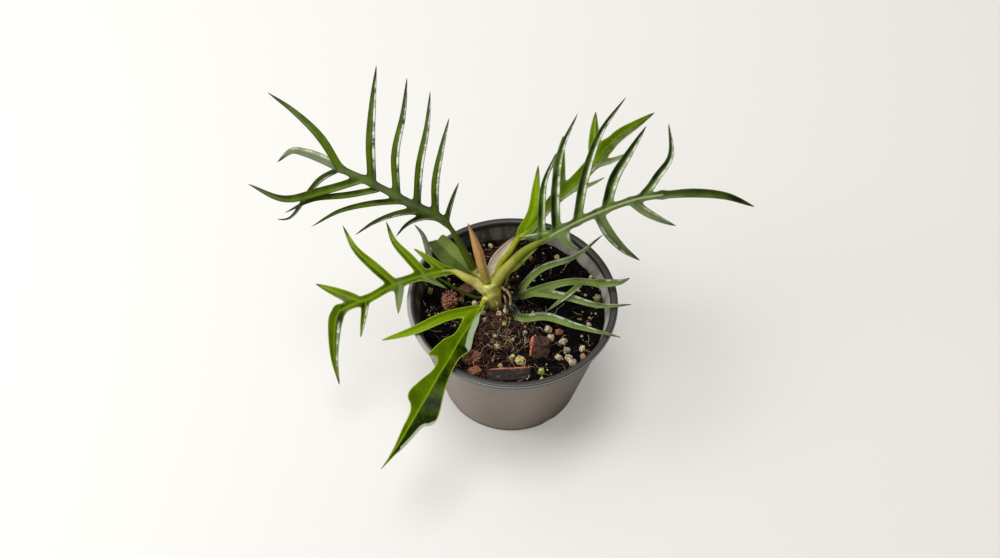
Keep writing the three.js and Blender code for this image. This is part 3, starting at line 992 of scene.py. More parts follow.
            # Painted light and shade: one side's tone is raised and the other's lowered.
            tone = strip.tone + strip.painted_side_light * side - self.fade * smoothstep(along, 0.45, 1.0)
            for name, value in zip(self.CHANNELS, (height + crease, along, tone, strip.silver, streak,
                                                   length - 1.2 * distance)):
                sums[name][rows] += share * value
        values = {name: value / weight for name, value in sums.items()}
        values["margin"] = self.fillet * np.log(np.maximum(total, 1e-12))
        values["rib"] = shown
        middle = np.column_stack([flat, values.pop("height")])
        corners = middle[faces]
        facing = np.cross(corners[:, 1] - corners[:, 0], corners[:, 2] - corners[:, 0])
        normals = np.zeros_like(middle)
        for i in range(3):
            np.add.at(normals, faces[:, i], facing)
        normals /= np.maximum(np.linalg.norm(normals, axis=1), 1e-9)[:, None]
        ridge = np.exp(-((rib / 0.7) ** 2))
        above = self.edge / 2 + self.middle / 2 * ridge
        below = above + self.keel * ridge * (1 - values["along"])
        points = np.vstack([middle + normals * above[:, None], middle - normals * below[:, None]])
        count = len(flat)
        edges = np.vstack([faces[:, [0, 1]], faces[:, [1, 2]], faces[:, [2, 0]]])
        forward = edges[:, 0] * count + edges[:, 1]
        rim = edges[~np.isin(forward, edges[:, 1] * count + edges[:, 0])]
        start, end = rim.T
        walls = [np.column_stack([start, start + count, end + count]), np.column_stack([start, end + count, end])]
        values = {name: np.tile(value, 2) for name, value in values.items()}
        values["under"] = np.repeat([0.0, 1.0], count)
        return Shell(points, np.vstack([faces, faces[:, ::-1] + count, *walls]), values)


PER_SPAN = 12
STALK_SIDES = 14
LOBE_SAMPLES = 44
FULLNESS = 1.14
TIP_REACH = 1.4


@dataclass
class Leaf:
    """A leaf: its stalk and rib, and the blade's lobes along it."""

    node: str
    rib: tuple[Point, ...]
    stalk: float
    blade_from: float
    lobes: tuple[Lobe, ...] = ()
    wing: float = 0.9
    broad: tuple[Point, ...] = ()
    margins: tuple[tuple[tuple[float, float], ...], ...] = ()
    turned: tuple[tuple[float, float, float, float], ...] = ()
    finish: LeafFinish = LeafFinish()
    tone: float = 0.4
    # How pale the blade is, partly as painted reflection.
    silver: float = 0.0
    # Painted light and shade: how much brighter the left side is than the right.
    painted_side_light: float = 0.18
    # Painted highlight: a silver streak along one side of the blade.
    sheen: float = 0.0
    fold: float = 0.42
    stalk_end: float = 0.5
    # Radius round the rib's start in which the blade takes the stalk's colour; on leaf_g this is painted shade.
    dim_foot: float = 0.0
    rib_pale: float = 0.0
    plain_lobes: bool = False
    sheet: Sheet = Sheet()

    def place_on_rib(self, curve: Array, at: float) -> Array:
        """The point of the rib at a place.

        Args:
            curve: The rib's samples.
            at: The place, counting the rib's points.

        Returns:
            The point.
        """
        exact = min(at * PER_SPAN, len(curve) - 1.000001)
        low = int(exact)
        return curve[low] + (curve[low + 1] - curve[low]) * (exact - low)

    def lobe_strip(self, curve: Array, lobe: Lobe) -> Strip:
        """The strip of one lobe.

        Args:
            curve: The rib's samples.
            lobe: The lobe.

        Returns:
            Its strip.
        """
        start, end = self.place_on_rib(curve, lobe.at), np.array(lobe.tip, float)
        before = np.array(lobe.passes[-1] if lobe.passes else start, float)
        end += (end - before) / np.linalg.norm(end - before) * TIP_REACH
        if lobe.passes:
            points = np.array([start, *lobe.passes, end])
        else:
            chord = end - start
            left = np.array([-chord[1], chord[0], 0]) / math.hypot(chord[0], chord[1])
            middle = [start + chord * share + left * bow + np.array([0, 0, lobe.rise])
                      for share, bow in zip((1 / 3, 2 / 3), lobe.bows)]
            points = np.array([start, *middle, end])
        line = smooth_curve(points, LOBE_SAMPLES // (len(points) - 1))
        lengths = lengths_along(line)
        along = lengths / lengths[-1]
        profile = (1 - along**lobe.taper) ** lobe.sharp * (0.82 + 0.18 * smoothstep(along, 0, lobe.widest))
        profile *= lobe.neck + (1 - lobe.neck) * smoothstep(lengths, 0, 3.5)
        half = lobe.width / 2 * profile * FULLNESS
        line[:, 2] -= 0.35 * (lobe.layer > 0) * (1 - smoothstep(lengths, 2, 7))
        tone = self.tone if lobe.tone is None else lobe.tone
        silver = self.silver if lobe.silver is None else lobe.silver
        painted_side_light = self.painted_side_light if lobe.painted_side_light is None else lobe.painted_side_light
        sheen = self.sheen if lobe.sheen is None else lobe.sheen
        return Strip(line, half, half, tone, silver, self.fold, along, painted_side_light, sheen, plain=self.plain_lobes)

    def rib_strips(self, curve: Array) -> list[Strip]:
        """The strips of blade that run along the rib itself.

        Args:
            curve: The rib's samples.

        Returns:
            The strips, the rib's own first.
        """
        last = len(self.rib) - 1
        first = max(0, int((self.blade_from - 1) * PER_SPAN))
        at = np.arange(len(curve)) / PER_SPAN
        narrows = 0.75 if self.broad or self.margins else 0.15
        half = self.wing * smoothstep(at, self.blade_from - 1.0, self.blade_from + 0.5)
        half = half * (1 - narrows * smoothstep(at, self.blade_from, last))
        along = 0.35 * smoothstep(at, self.blade_from, last)
        # The rib's strip is paler still by rib_pale, partly as painted reflection.
        pale = self.silver + self.rib_pale
        strips = [Strip(curve[first:], half[first:], half[first:], self.tone, pale, 0.25, along[first:])]
        if self.broad:
            places, left, right = np.array(self.broad).T
            start = int(places[0] * PER_SPAN)
            end = int(places[-1] * PER_SPAN) + 1
            part = slice(start, end)
            reach = [np.interp(at[part], places, side) for side in (left, right)]
            strips.append(Strip(curve[part], *reach, self.tone, self.silver, self.fold * 0.7, along[part], self.painted_side_light,
                                self.sheen))
        if self.margins:
            sides = [smooth_curve(np.array(side), 5) for side in self.margins]
            outline = np.vstack([sides[0], sides[1][::-1]])
            far = np.full(len(curve[first:]), 6.0)
            share = (at / last)[first:]
            strips = [Strip(curve[first:], far, far, self.tone, self.silver, self.fold * 0.7, share, self.painted_side_light,
                            self.sheen, outline)]
        return strips

    def shell(self) -> Shell:
        """The whole leaf in plane millimetres.

        Returns:
            The blade and its stalk.
        """
        curve = smooth_curve(np.array(self.rib), PER_SPAN)
        base = self.rib_strips(curve)
        parts = [self.sheet.build(base + [self.lobe_strip(curve, l) for l in self.lobes if l.layer == 0])]
        for layer in sorted({lobe.layer for lobe in self.lobes} - {0}):
            strips = [self.lobe_strip(curve, lobe) for lobe in self.lobes if lobe.layer == layer]
            parts.append(self.sheet.build(strips))
        blade = joined(parts)
        self.pale_turns(blade, base[0])
        if self.dim_foot:
            away = np.linalg.norm(blade.points[:, :2] - curve[0, :2], axis=1)
            blade.values["stalk"] = 1 - smoothstep(away, self.dim_foot - 5, self.dim_foot + 3)
        return joined([blade, self.stalk_shell(curve)])

    def pale_turns(self, blade: Shell, rib: Strip) -> None:
        """Paints pale strips along one margin, partly the underside's colour and partly painted reflection; the
        margin is not turned.

        Args:
            blade: The blade, which is changed.
            rib: The rib's own strip.
        """
        if not self.turned:
            return
        read = rib.read(blade.points[:, :2])
        along, side = read[:, 3], np.sign(read[:, 4])
        for which, start, end, width in self.turned:
            reach = width * smoothstep(along, start, start + 0.03) * (1 - smoothstep(along, end - 0.02, end))
            share = smoothstep(reach - blade.values["margin"], -0.25, 0.25) * (side == which)
            blade.values["silver"] = np.maximum(blade.values["silver"], share)

    def stalk_shell(self, curve: Array) -> Shell:
        """The round stalk, which runs on under the blade as a slimming rib.

        Args:
            curve: The rib's samples.

        Returns:
            The stalk with a leaf's masks.
        """
        last = len(self.rib) - 1
        at = np.arange(len(curve)) / PER_SPAN
        slim = smoothstep(at, self.blade_from - 1.5, self.blade_from + 1.0)
        radii = self.stalk * (1 - slim) * (1 + 0.25 * np.exp(-at * 3)) + slim * (
            self.stalk_end + (0.16 - self.stalk_end) * smoothstep(at, self.blade_from, last))
        line = curve.copy()
        line[:, 2] -= slim * radii * 0.55
        rod = tube(line, radii, STALK_SIDES)
        places = np.repeat(at, STALK_SIDES)
        rod.values = {
            "stalk": 1 - 0.5 * smoothstep(places, self.blade_from - 0.5, self.blade_from + 1),
            "tone": np.full(len(rod.points), self.tone),
            "margin": np.full(len(rod.points), FAR),
            "rib": np.full(len(rod.points), FAR),
            "under": np.zeros(len(rod.points)),
        }
        return rod

    def make(self) -> Object:
        """Builds and dresses the leaf."""
        piece = mesh_object(self.node + "_organ", self.shell().moved(PLANE))
        return finished(piece, self.finish.material(self.node + "_green"), Slot.LEAF, self.node)


LEAVES = [
    Leaf(
        "leaf_a",
        rib=((-7.5, -0.5, 2.5), (-12.5, 4, 2.5), (-18.5, 14, 8), (-27, 28, 14.5), (-36, 34, 19),
             (-46, 38.5, 22), (-56, 44, 23), (-66, 49, 24.5), (-81, 56, 26)),
        stalk=2.1, wing=2, blade_from=3, tone=0.36, rib_pale=0.1, painted_side_light=0.26, sheen=-0.95, plain_lobes=True,
        lobes=(
            Lobe(8, (-119, 95.3, 16), (-3.8, -3.2), 3, 4, tone=0.5, painted_side_light=0.05, sheen=0.0, neck=0.85),
            Lobe(8, (-113, 60.4, 20), width=4.4, passes=((-90.3, 61, 24.5), (-98.8, 64.2, 23.5), (-106, 65.3, 22)),
                 silver=0.25, tone=0.5, painted_side_light=-0.35, sheen=-0.8, layer=3, taper=2.6, neck=0.8),
            Lobe(8, (-115.5, 31, 8), width=2.9, passes=((-92, 51, 18.5), (-98.5, 44.5, 14.5), (-109, 31.8, 9.5)),
                 tone=0.3, painted_side_light=-0.1, sheen=0.6, layer=1),
            Lobe(7.25, (-129, 49.2, 14), (5.4, 8.8), 4, 4.1, tone=0.42, painted_side_light=0.16, sheen=0.0, widest=0.5, taper=2.6),
            Lobe(6.4, (-110, 34, 16), (-0.9, -3), 3, 3.3, tone=0.4, painted_side_light=0.16, sheen=0.0, layer=2, widest=0.5),
            Lobe(5.25, (-96.5, 27, 14), (-3.1, -3.7), 3, 2.9, tone=0.3, painted_side_light=0.2, sheen=0.0),
            Lobe(4.2, (-74, 23, 12), (-3, -3), 2, 2.8, tone=0.2, painted_side_light=-0.1, sheen=0.35),
            Lobe(3.6, (-53, 22, 12), (-3, -3.2), 1, 2.4, tone=0.15, painted_side_light=-0.05, sheen=0.3),
            Lobe(6.9, (-64.5, 110.5, 6), (1.2, 0.8), 4, 4.6),
            Lobe(5.65, (-48.5, 104.5, 6), (2.3, 0.1), 4, 4),
            Lobe(4.65, (-36.5, 97, 6), (0.7, -0.7), 4, 3.9),
            Lobe(3.7, (-26.5, 83, 8), (2.2, 1.5), 3, 3.8),
            Lobe(3.1, (-21.5, 49, 12), (0.5, 0.5), 1, 2.4, tone=0.2, sheen=-0.3),
        ),
        finish=LeafFinish(dark=rgb(22, 34, 2), bright=rgb(110, 140, 8), rib=rgb(104, 120, 76),
                          stalk=rgb(80, 96, 24)),
    ),
    Leaf(
        "leaf_b",
        rib=((-3, -2, 5), (2.5, 4.5, 8), (13, 14.5, 10.5), (23, 20.3, 12.5), (31, 25, 14), (41, 30, 16),
             (51.5, 34.5, 18), (61.5, 38.3, 20), (71.5, 41.2, 21.5), (82.5, 42.8, 23)),
        stalk=2.5, wing=2, blade_from=3, tone=0.36, painted_side_light=-0.3, sheen=-0.9, rib_pale=0.06, plain_lobes=True,
        lobes=(
            Lobe(9, (130.5, 37.5, 12), (2.8, 3.3), 3, 4.1, taper=3.4, tone=0.3, painted_side_light=-0.1, sheen=0, neck=1),
            Lobe(8, (87, 79.5, 14), width=3.9,
                 passes=((77, 47.5, 22), (80.3, 52.3, 20.5), (86.6, 60.8, 18), (88, 66.5, 16.5))),
            Lobe(6.25, (75.5, 78.5, 10), (3.1, 1.8), 3, 5.2),
            Lobe(4.85, (65.5, 94, 8), (4.9, 5.7), 4, 4.7, taper=1.6),
            Lobe(3.75, (40.5, 85.5, 7), (4.3, 5.1), 3, 4.8, taper=1.6),
            Lobe(2.85, (28.5, 63, 6.5), (2.4, 3.4), 1.5, 3.8),
            Lobe(4.25, (41.5, 16, 8), (-3.4, -3.2), 1, 5.2, tone=0.7, silver=0.25, sheen=0.4),
            Lobe(5.85, (72, 10.5, 8), (-2.7, -2.7), 2, 5.4, tone=0.35, painted_side_light=0.2, silver=0.1, sheen=-0.4),
            Lobe(7.5, (90, 28, 12), (-1.2, -1.1), 1, 4.3, tone=0.5, silver=0.2, sheen=0.7),
            Lobe(3.65, (10, 21.5, 9), (0, 0), 0.5, 2.6, tone=0.9),
        ),
        finish=LeafFinish(dark=rgb(18, 34, 8), bright=rgb(112, 140, 54), silver=rgb(196, 204, 170),
                          rib=rgb(196, 206, 140), rim=rgb(138, 156, 100), stalk=rgb(132, 142, 46), rib_share=0.65,
                          rim_share=0.3, vein_share=0.02),
    ),
    Leaf(
        "leaf_c",
        rib=((-3.2, -1.5, 1), (0, 7.5, 2.2), (5, 14, 1.8), (9, 20.5, 1.5), (13, 24, 1), (18.5, 29, 0.5),
             (23.5, 35, 0), (29, 41.5, -1), (37, 47.5, -2), (47, 58, -3), (56.5, 70, -4)),
        stalk=1.6, blade_from=4, tone=0.44, painted_side_light=0.2, sheen=-0.8,
        broad=((3.2, 1.6, 0.9), (3.8, 4.2, 1.6), (4.4, 4.2, 1.8), (6, 2.8, 1.8), (7.2, 3.6, 2.2), (8.4, 4.2, 2.6),
               (9.3, 4.2, 3), (10, 3.6, 3.2)),
        lobes=(
            Lobe(9.8, (81.5, 88, -10), (1.6, 0.8), 1, 5.9, sheen=0.0, neck=1),
            Lobe(9.3, (51, 88, -10), (0.5, 0.5), 1, 6, tone=0.5, sheen=0.0),
            Lobe(7.2, (33.5, 75, -8), (0.5, 0.5), 1, 6.5, sheen=0.0),
            Lobe(3.8, (20, 59, -3), (-2.6, -1.4), 1, 5.8, tone=0.95, sheen=0.0, widest=0.15, neck=0.8),
            Lobe(9.2, (69, 67.5, -7), (-1.2, -1), 0, 2.8, silver=0.7),
            Lobe(8, (54.5, 53.5, -4), (-1.4, -1), 0, 2.2, silver=0.6),
        ),
        finish=LeafFinish(dark=rgb(34, 54, 2), bright=rgb(136, 168, 6), silver=rgb(176, 194, 140),
                          rim=rgb(168, 192, 70), rib=rgb(160, 184, 50), stalk=rgb(170, 178, 40), rib_share=0.3,
                          vein_share=0.1),
    ),
    Leaf(
        "leaf_d",
        rib=((-6.5, -6, 4), (-11.5, -2.6, 6.5), (-17.5, 0.6, 9.2), (-25, 4.2, 10.5), (-36.5, 2.7, 11),
             (-46.5, 0, 11.5), (-57, -4, 12), (-67.5, -9.8, 12), (-77.5, -13.6, 11), (-83.4, -16.6, 9.5)),
        stalk=2.4, wing=2.5, blade_from=3, painted_side_light=-0.18, dim_foot=19,
        lobes=(
            Lobe(9, (-85, -55.2, -4), width=7.2, passes=((-85.3, -21, 7.6), (-86.6, -30.5, 4), (-86.8, -42, 0.5)),
                 tone=0.26, painted_side_light=-0.3, sheen=0.9, widest=0.12, taper=1.15, neck=1),
            Lobe(7.45, (-95, -3, 6), (0, 0), 1, 5.4, tone=0.5),
            Lobe(5.75, (-81, 27, 8), (1.8, 3), 2, 5.2, tone=0.42, taper=1.7),
            Lobe(4.25, (-58.5, 29, 8), (1.3, 2.6), 2, 4.9, tone=0.42, taper=1.7),
            Lobe(3.3, (-43.5, 15, 9), (0, 0), 1, 3.8, tone=0.4),
            Lobe(7.15, (-72.5, -29.5, 6), (0, 0), 0, 3.2, tone=-0.5, painted_side_light=0, sheen=0.95),
            Lobe(5.5, (-53, -17, 6), (0, 0), 0, 4.2, silver=0.55),
            Lobe(4.4, (-28.5, -4.5, 6), (0, 0), 0.5, 2.6, silver=0.5),
        ),
        finish=LeafFinish(dark=rgb(20, 36, 2), bright=rgb(128, 160, 8), silver=rgb(168, 188, 136),
                          rim=rgb(162, 190, 40), rib=rgb(146, 178, 16), stalk=rgb(206, 200, 104), rib_share=0.5,
                          rib_width=1.1, rim_share=0.65, gloss=0.3),
    ),
    Leaf(
        "leaf_e",
        rib=((-4, -8, 0.5), (-7.5, -10.5, 3.5), (-10.5, -15.5, 8), (-15.5, -23.5, 16.5), (-20.5, -31, 25.5),
             (-25, -39, 34), (-30, -47, 41), (-34.5, -55, 46), (-39.5, -63.5, 49), (-44.5, -72, 50.5),
             (-49.5, -80.5, 50.5), (-54.5, -87.5, 49.5), (-58.5, -93.5, 48)),
        stalk=1.9, blade_from=2, tone=0.36, painted_side_light=-0.26,
        margins=(
            ((-9, -13), (-12.5, -14.6), (-15.6, -16.1), (-19.1, -21.2), (-23.1, -27.7), (-28.1, -30.2),
             (-32.1, -33.6), (-35.6, -37.6), (-31.9, -38.5), (-31.3, -40.9), (-33.2, -44.8), (-39.9, -50.3),
             (-44.6, -55.1), (-45, -58.4), (-44, -60.7), (-43.9, -64.6), (-47.6, -72.6), (-51.4, -81.3),
             (-54.9, -87.8), (-58.6, -93.8)),
            ((-8.4, -14.1), (-10.4, -18.7), (-10.9, -22.3), (-13.3, -28.7), (-15.2, -36.1), (-20.2, -39.9),
             (-23.6, -45.6), (-26.4, -52.7), (-28.2, -59.8), (-29.5, -65.5), (-31.4, -69.7), (-34.3, -71.6),
             (-37.3, -72.1), (-41.6, -76.4), (-46.5, -81.8), (-51.5, -86.3)),
        ),
        turned=((1, 0.17, 0.36, 3.2), (1, 0.66, 0.86, 1.15)),
        lobes=(
            Lobe(2, (-59.5, -31, 22.5), (-1.7, 0.1), 5, 5.1, tone=1.2, painted_side_light=-0.1, widest=0.6, taper=3, neck=0.35),
        ),
        finish=LeafFinish(dark=rgb(20, 34, 2), bright=rgb(124, 160, 8), silver=rgb(172, 188, 150),
                          rib=rgb(150, 176, 26), rim=rgb(172, 200, 54), stalk=rgb(158, 170, 40), rib_share=0.75,
                          rib_width=0.75, rim_share=0.85, tip_share=0.3, vein_share=0.04, shine=0.02, coat=0.04),
    ),
    Leaf(
        "leaf_f",
        rib=((-6, -4, -1), (-11, -1, -2), (-16, 4.5, -1), (-25, 12.5, 1), (-33.5, 20.5, 2.5)),
        stalk=1.3, blade_from=2, tone=0.85, silver=0.04, painted_side_light=-0.4, fold=0.12,
        margins=(
            ((-12.2, -1.8), (-16.5, -0.8), (-21, 1.4), (-25.5, 4.4), (-30.2, 8.4), (-34, 12.8), (-36.9, 17.4),
             (-37.8, 19.2)),
            ((-11, 0.6), (-13.2, 4.2), (-16, 9), (-19.4, 13.8), (-23, 17.8), (-26.4, 20.8), (-29.8, 23.2),
             (-31.2, 22.4), (-32.6, 20.6), (-34, 20.4), (-35.6, 19.9), (-36.8, 19.8)),
        ),
        finish=LeafFinish(dark=rgb(36, 60, 18), bright=rgb(154, 180, 78), silver=rgb(186, 198, 156),
                          rib=rgb(182, 196, 120), rim=rgb(150, 138, 84), stalk=rgb(176, 178, 92),
                          tip_share=0.25, vein_share=0.1),
    ),
    Leaf(
        "leaf_g",
        rib=((-3, -9, 0), (3.5, -9.5, 1), (10.5, -9.3, 2.5), (22.5, -4.6, 4.5), (38, -1.3, 5.5), (52, -2.2, 6)),
        stalk=1.1, wing=2, blade_from=2, silver=0.03, painted_side_light=-0.25, sheen=0.6, dim_foot=17,
        lobes=(
            Lobe(5, (66.5, 0.3, 6), (-0.8, -1.2), 0.5, 3.9, neck=1),
            Lobe(2.55, (67.5, -13, 13.5), (-0.2, -2.6), 1, 3.9, tone=0.4),
            Lobe(4.4, (24.5, -16.5, 11), (0, 0), 2.5, 2.8, layer=1),
            Lobe(1.5, (53.5, 23, 4), (3.9, -0.9), 1, 3.6),
            Lobe(0.9, (61, -29.5, 26), (0, 0), 0, 4.4, widest=0.5,
                 passes=((6.5, -15, 4), (10.5, -20, 5.5), (23.5, -19.3, 9.5), (39, -24, 17))),
        ),
        # The stalk, and the blade near its foot, are near-black: painted shade.
        finish=LeafFinish(dark=rgb(26, 44, 8), bright=rgb(132, 158, 62), silver=rgb(178, 194, 150),
                          rim=rgb(158, 172, 116), rib=rgb(150, 170, 96), stalk=rgb(10, 10, 7), rim_share=0.4),
    ),
    Leaf(
        "leaf_h",
        rib=((-5, -10, -1), (-13, -9.5, -0.5), (-19.5, -7, -0.5), (-26.5, -3, 0), (-33, 1.5, 0.5),
             (-37, 11, 0.5)),
        stalk=0.9, blade_from=4, tone=0.3, silver=0.35,
        lobes=(Lobe(5, (-44.5, 27.5, 1.5), (-1.4, -1.8), 0.5, 2.9, sheen=0.6, neck=1),),
    ),
]


@dataclass(frozen=True)
class Pot:
    """A thin round nursery pot with a rolled rim and notches at its foot."""

    height: float = 71.0
    rim_radius: float = 55.0
    foot_radius: float = 37.5
    foot_round: float = 1.5
    wall: float = 1.2
    floor: float = 1.5
    lip_width: float = 2.6
    lip_height: float = 2.6
    step_below: float = 6.5
    step_depth: float = 0.45
    notches: int = 4
    notch: Point = (6.0, 7.0, 4.4)
    first_notch: float = -56.0
    sides: int = 192

    def outer(self, height: float) -> float:
        """The outside radius of the wall at a height.

        Args:
            height: The height.

        Returns:
            The radius.
        """
        top = self.height - self.lip_height
        share = (height - self.foot_round) / (top - self.foot_round)
        return self.foot_radius + (self.rim_radius - self.lip_width - self.foot_radius) * share

    def arc(self, centre: tuple[float, float], radii: tuple[float, float], start: float, end: float,
            steps: int) -> list[tuple[float, float]]:
        """Points of an arc of the profile, from one angle to another in degrees."""
        return [(centre[0] + radii[0] * math.cos(math.radians(a)), centre[1] + radii[1] * math.sin(math.radians(a)))
                for a in np.linspace(start, end, steps)]

    def profile(self) -> list[tuple[float, float]]:
        """The section from the middle of the underside round to the middle of the floor.

        Returns:
            The radius and height of each corner.
        """
        top = self.height - self.lip_height
        roll = self.lip_width / 2
        wall_top = self.outer(top)
        foot = self.arc((self.foot_radius - self.foot_round, self.foot_round), (self.foot_round,) * 2, -90, 0, 7)
        under = [(self.outer(z), z) for z in np.linspace(self.foot_round + 2, top - 0.5, 12)]
        half = self.lip_height / 2
        lip = self.arc((self.rim_radius - roll, top + half), (roll, half), -60, 90, 11)
        inner_lip = self.arc((wall_top - self.wall + roll, self.height - roll), (roll, roll), 95, 175, 6)
        step = self.height - self.step_below
        inside = [(self.outer(step + 0.6) - self.wall, step + 0.6),
                  (self.outer(step) - self.wall - self.step_depth, step - 0.2)]
        low = [(self.outer(z) - self.wall - (self.step_depth if z > 20 else 0), z)
               for z in (50, 30, self.floor + self.foot_round)]
        floor = [(self.outer(self.floor) - self.wall - self.foot_round, self.floor), (12, self.floor)]
        return [(0, 0), (20, 0), *foot, *under, (wall_top, top - 0.1), *lip, *inner_lip, *inside, *low, *floor,
                (0, self.floor)]

    def shell(self) -> Shell:
        """The profile turned about the pot's axis.

        Returns:
            The pot, with a mask for its inner side.
        """
        radius, height = np.array(self.profile()).T
        turns = np.linspace(0, 2 * np.pi, self.sides, endpoint=False)
        rings = np.stack([np.outer(radius[1:-1], np.cos(turns)), np.outer(radius[1:-1], np.sin(turns)),
                          np.outer(height[1:-1], np.ones(self.sides))], axis=-1)
        faces = skin(rings, closed_ends=False)
        count = len(rings) * self.sides
        points = np.vstack([rings.reshape(-1, 3), [[0, 0, height[0]], [0, 0, height[-1]]]])
        near, last = np.arange(self.sides), (len(rings) - 1) * self.sides + np.arange(self.sides)
        fans = [np.column_stack([np.full(self.sides, count), np.roll(near, -1), near]),
                np.column_stack([np.full(self.sides, count + 1), last, np.roll(last, -1)])]
        crown = int(np.argmax(height))
        inner = np.append(np.repeat((np.arange(1, len(radius) - 1) > crown).astype(float), self.sides), [0.0, 1.0])
        return Shell(points, np.vstack([faces, *fans]), {"inner": inner})

    def make(self) -> Object:
        """Builds the pot and cuts its notches.

        Returns:
            The pot.
        """
        pot = mesh_object("pot_shell", self.shell())
        cutters = []
        for i in range(self.notches):
            turn = self.first_notch + i * 360 / self.notches
            block = lump(np.array(self.notch) / 2, 5, 2, 0.0, 1.0)
            away = math.radians(turn)
            spot = (self.foot_radius * math.cos(away), self.foot_radius * math.sin(away), 0)
            cutters.append(mesh_object("notch_cutter", turned(block, (0, 0, turn), spot)))
            cut = pot.modifiers.new("notch", "BOOLEAN")
            cut.operation, cut.object, cut.solver = "DIFFERENCE", cutters[-1], "EXACT"
        baked = evaluated(pot)
        pot.modifiers.clear()
        pot.data = baked
        for cutter in cutters:
            bpy.data.objects.remove(cutter)
        sharp = baked.attributes.get("sharp_face")
        if sharp:
            baked.attributes.remove(sharp)
        baked.set_sharp_from_angle(angle=math.radians(40))
        return finished(pot, self.material(), Slot.POT, "pot")

    def material(self) -> Material:
        """Taupe plastic, streaked, with painted shade to the right, at its foot and inside left, and painted light
        inside right, on the left lip and in a line under the rim.

        Returns:
            The material.
        """
        make = Finish("pot_plastic", 0.42)
        x, _, z = make.axes()
        grey = make.blend(make.patches(30, 4, 0.3, 0.7, 1.0, (1, 1, 0.3)), rgb(138, 126, 117), rgb(156, 144, 135))
        # Painted shade: darker towards the right.
        grey = make.blend(make.rise(x, -0.005, 0.045, 0.6), grey, rgb(80, 70, 60))
        # Painted shade: a dark band round the foot where the wall turns under.
        grey = make.blend(make.rise(z, 4.5 * MM, 0.8 * MM, 0.75), grey, rgb(44, 39, 36))
        inner = make.rise(make.mask("inner"), 0.4, 0.6)
        # Painted light and shade on the inner wall: dark at the left, pale at the right.
        wall = make.blend(make.rise(x, -0.01, 0.045), rgb(58, 60, 58), rgb(170, 169, 158))
        grey = make.blend(inner, grey, wall)
        streaks = make.times(inner, make.patches(160, 4, 0.45, 0.62, 0.7, (1, 1, 0.15)))
        grey = make.blend(streaks, grey, rgb(124, 120, 104))
        lip = make.rise(z, (self.height - 3.2) * MM, (self.height - 2.7) * MM)
        # Painted highlight: the outer lip is pale on the left; elsewhere the lip is dark.
        lip_painted_highlight = make.times(make.rise(x, -0.025, -0.048), make.rise(make.mask("inner"), 0.6, 0.4))
        lip_painted_highlight = make.blend(lip_painted_highlight, rgb(50, 48, 46), rgb(142, 141, 138))
        grey = make.blend(lip, grey, lip_painted_highlight)
        # Painted highlight: a pale line round the outside just under the rim.
        line = make.times(make.rise(z, (self.height - 1.2) * MM, (self.height - 0.85) * MM),
                        make.rise(z, (self.height - 0.3) * MM, (self.height - 0.5) * MM))
        line = make.times(line, make.rise(make.mask("inner"), 0.6, 0.4, 0.85))
        grey = make.blend(line, grey, rgb(150, 152, 152))
        dust = make.patches(900, 3, 0.62, 0.75, 0.25)
        grey = make.blend(dust, grey, rgb(150, 144, 136))
        make.colour(grey)
        make.rough(make.sum("ADD", make.times(make.mottle(160, 4), 0.2), 0.3))
        make.bump(make.mottle(2200, 2), 0.00003, 0.5)
        return make.material


@dataclass(frozen=True)
class Foot:
    """The wide foot of a stalk where it clasps the stem."""

    leaf: int
    wide: float
    slim: float
    length: float
    tone: float


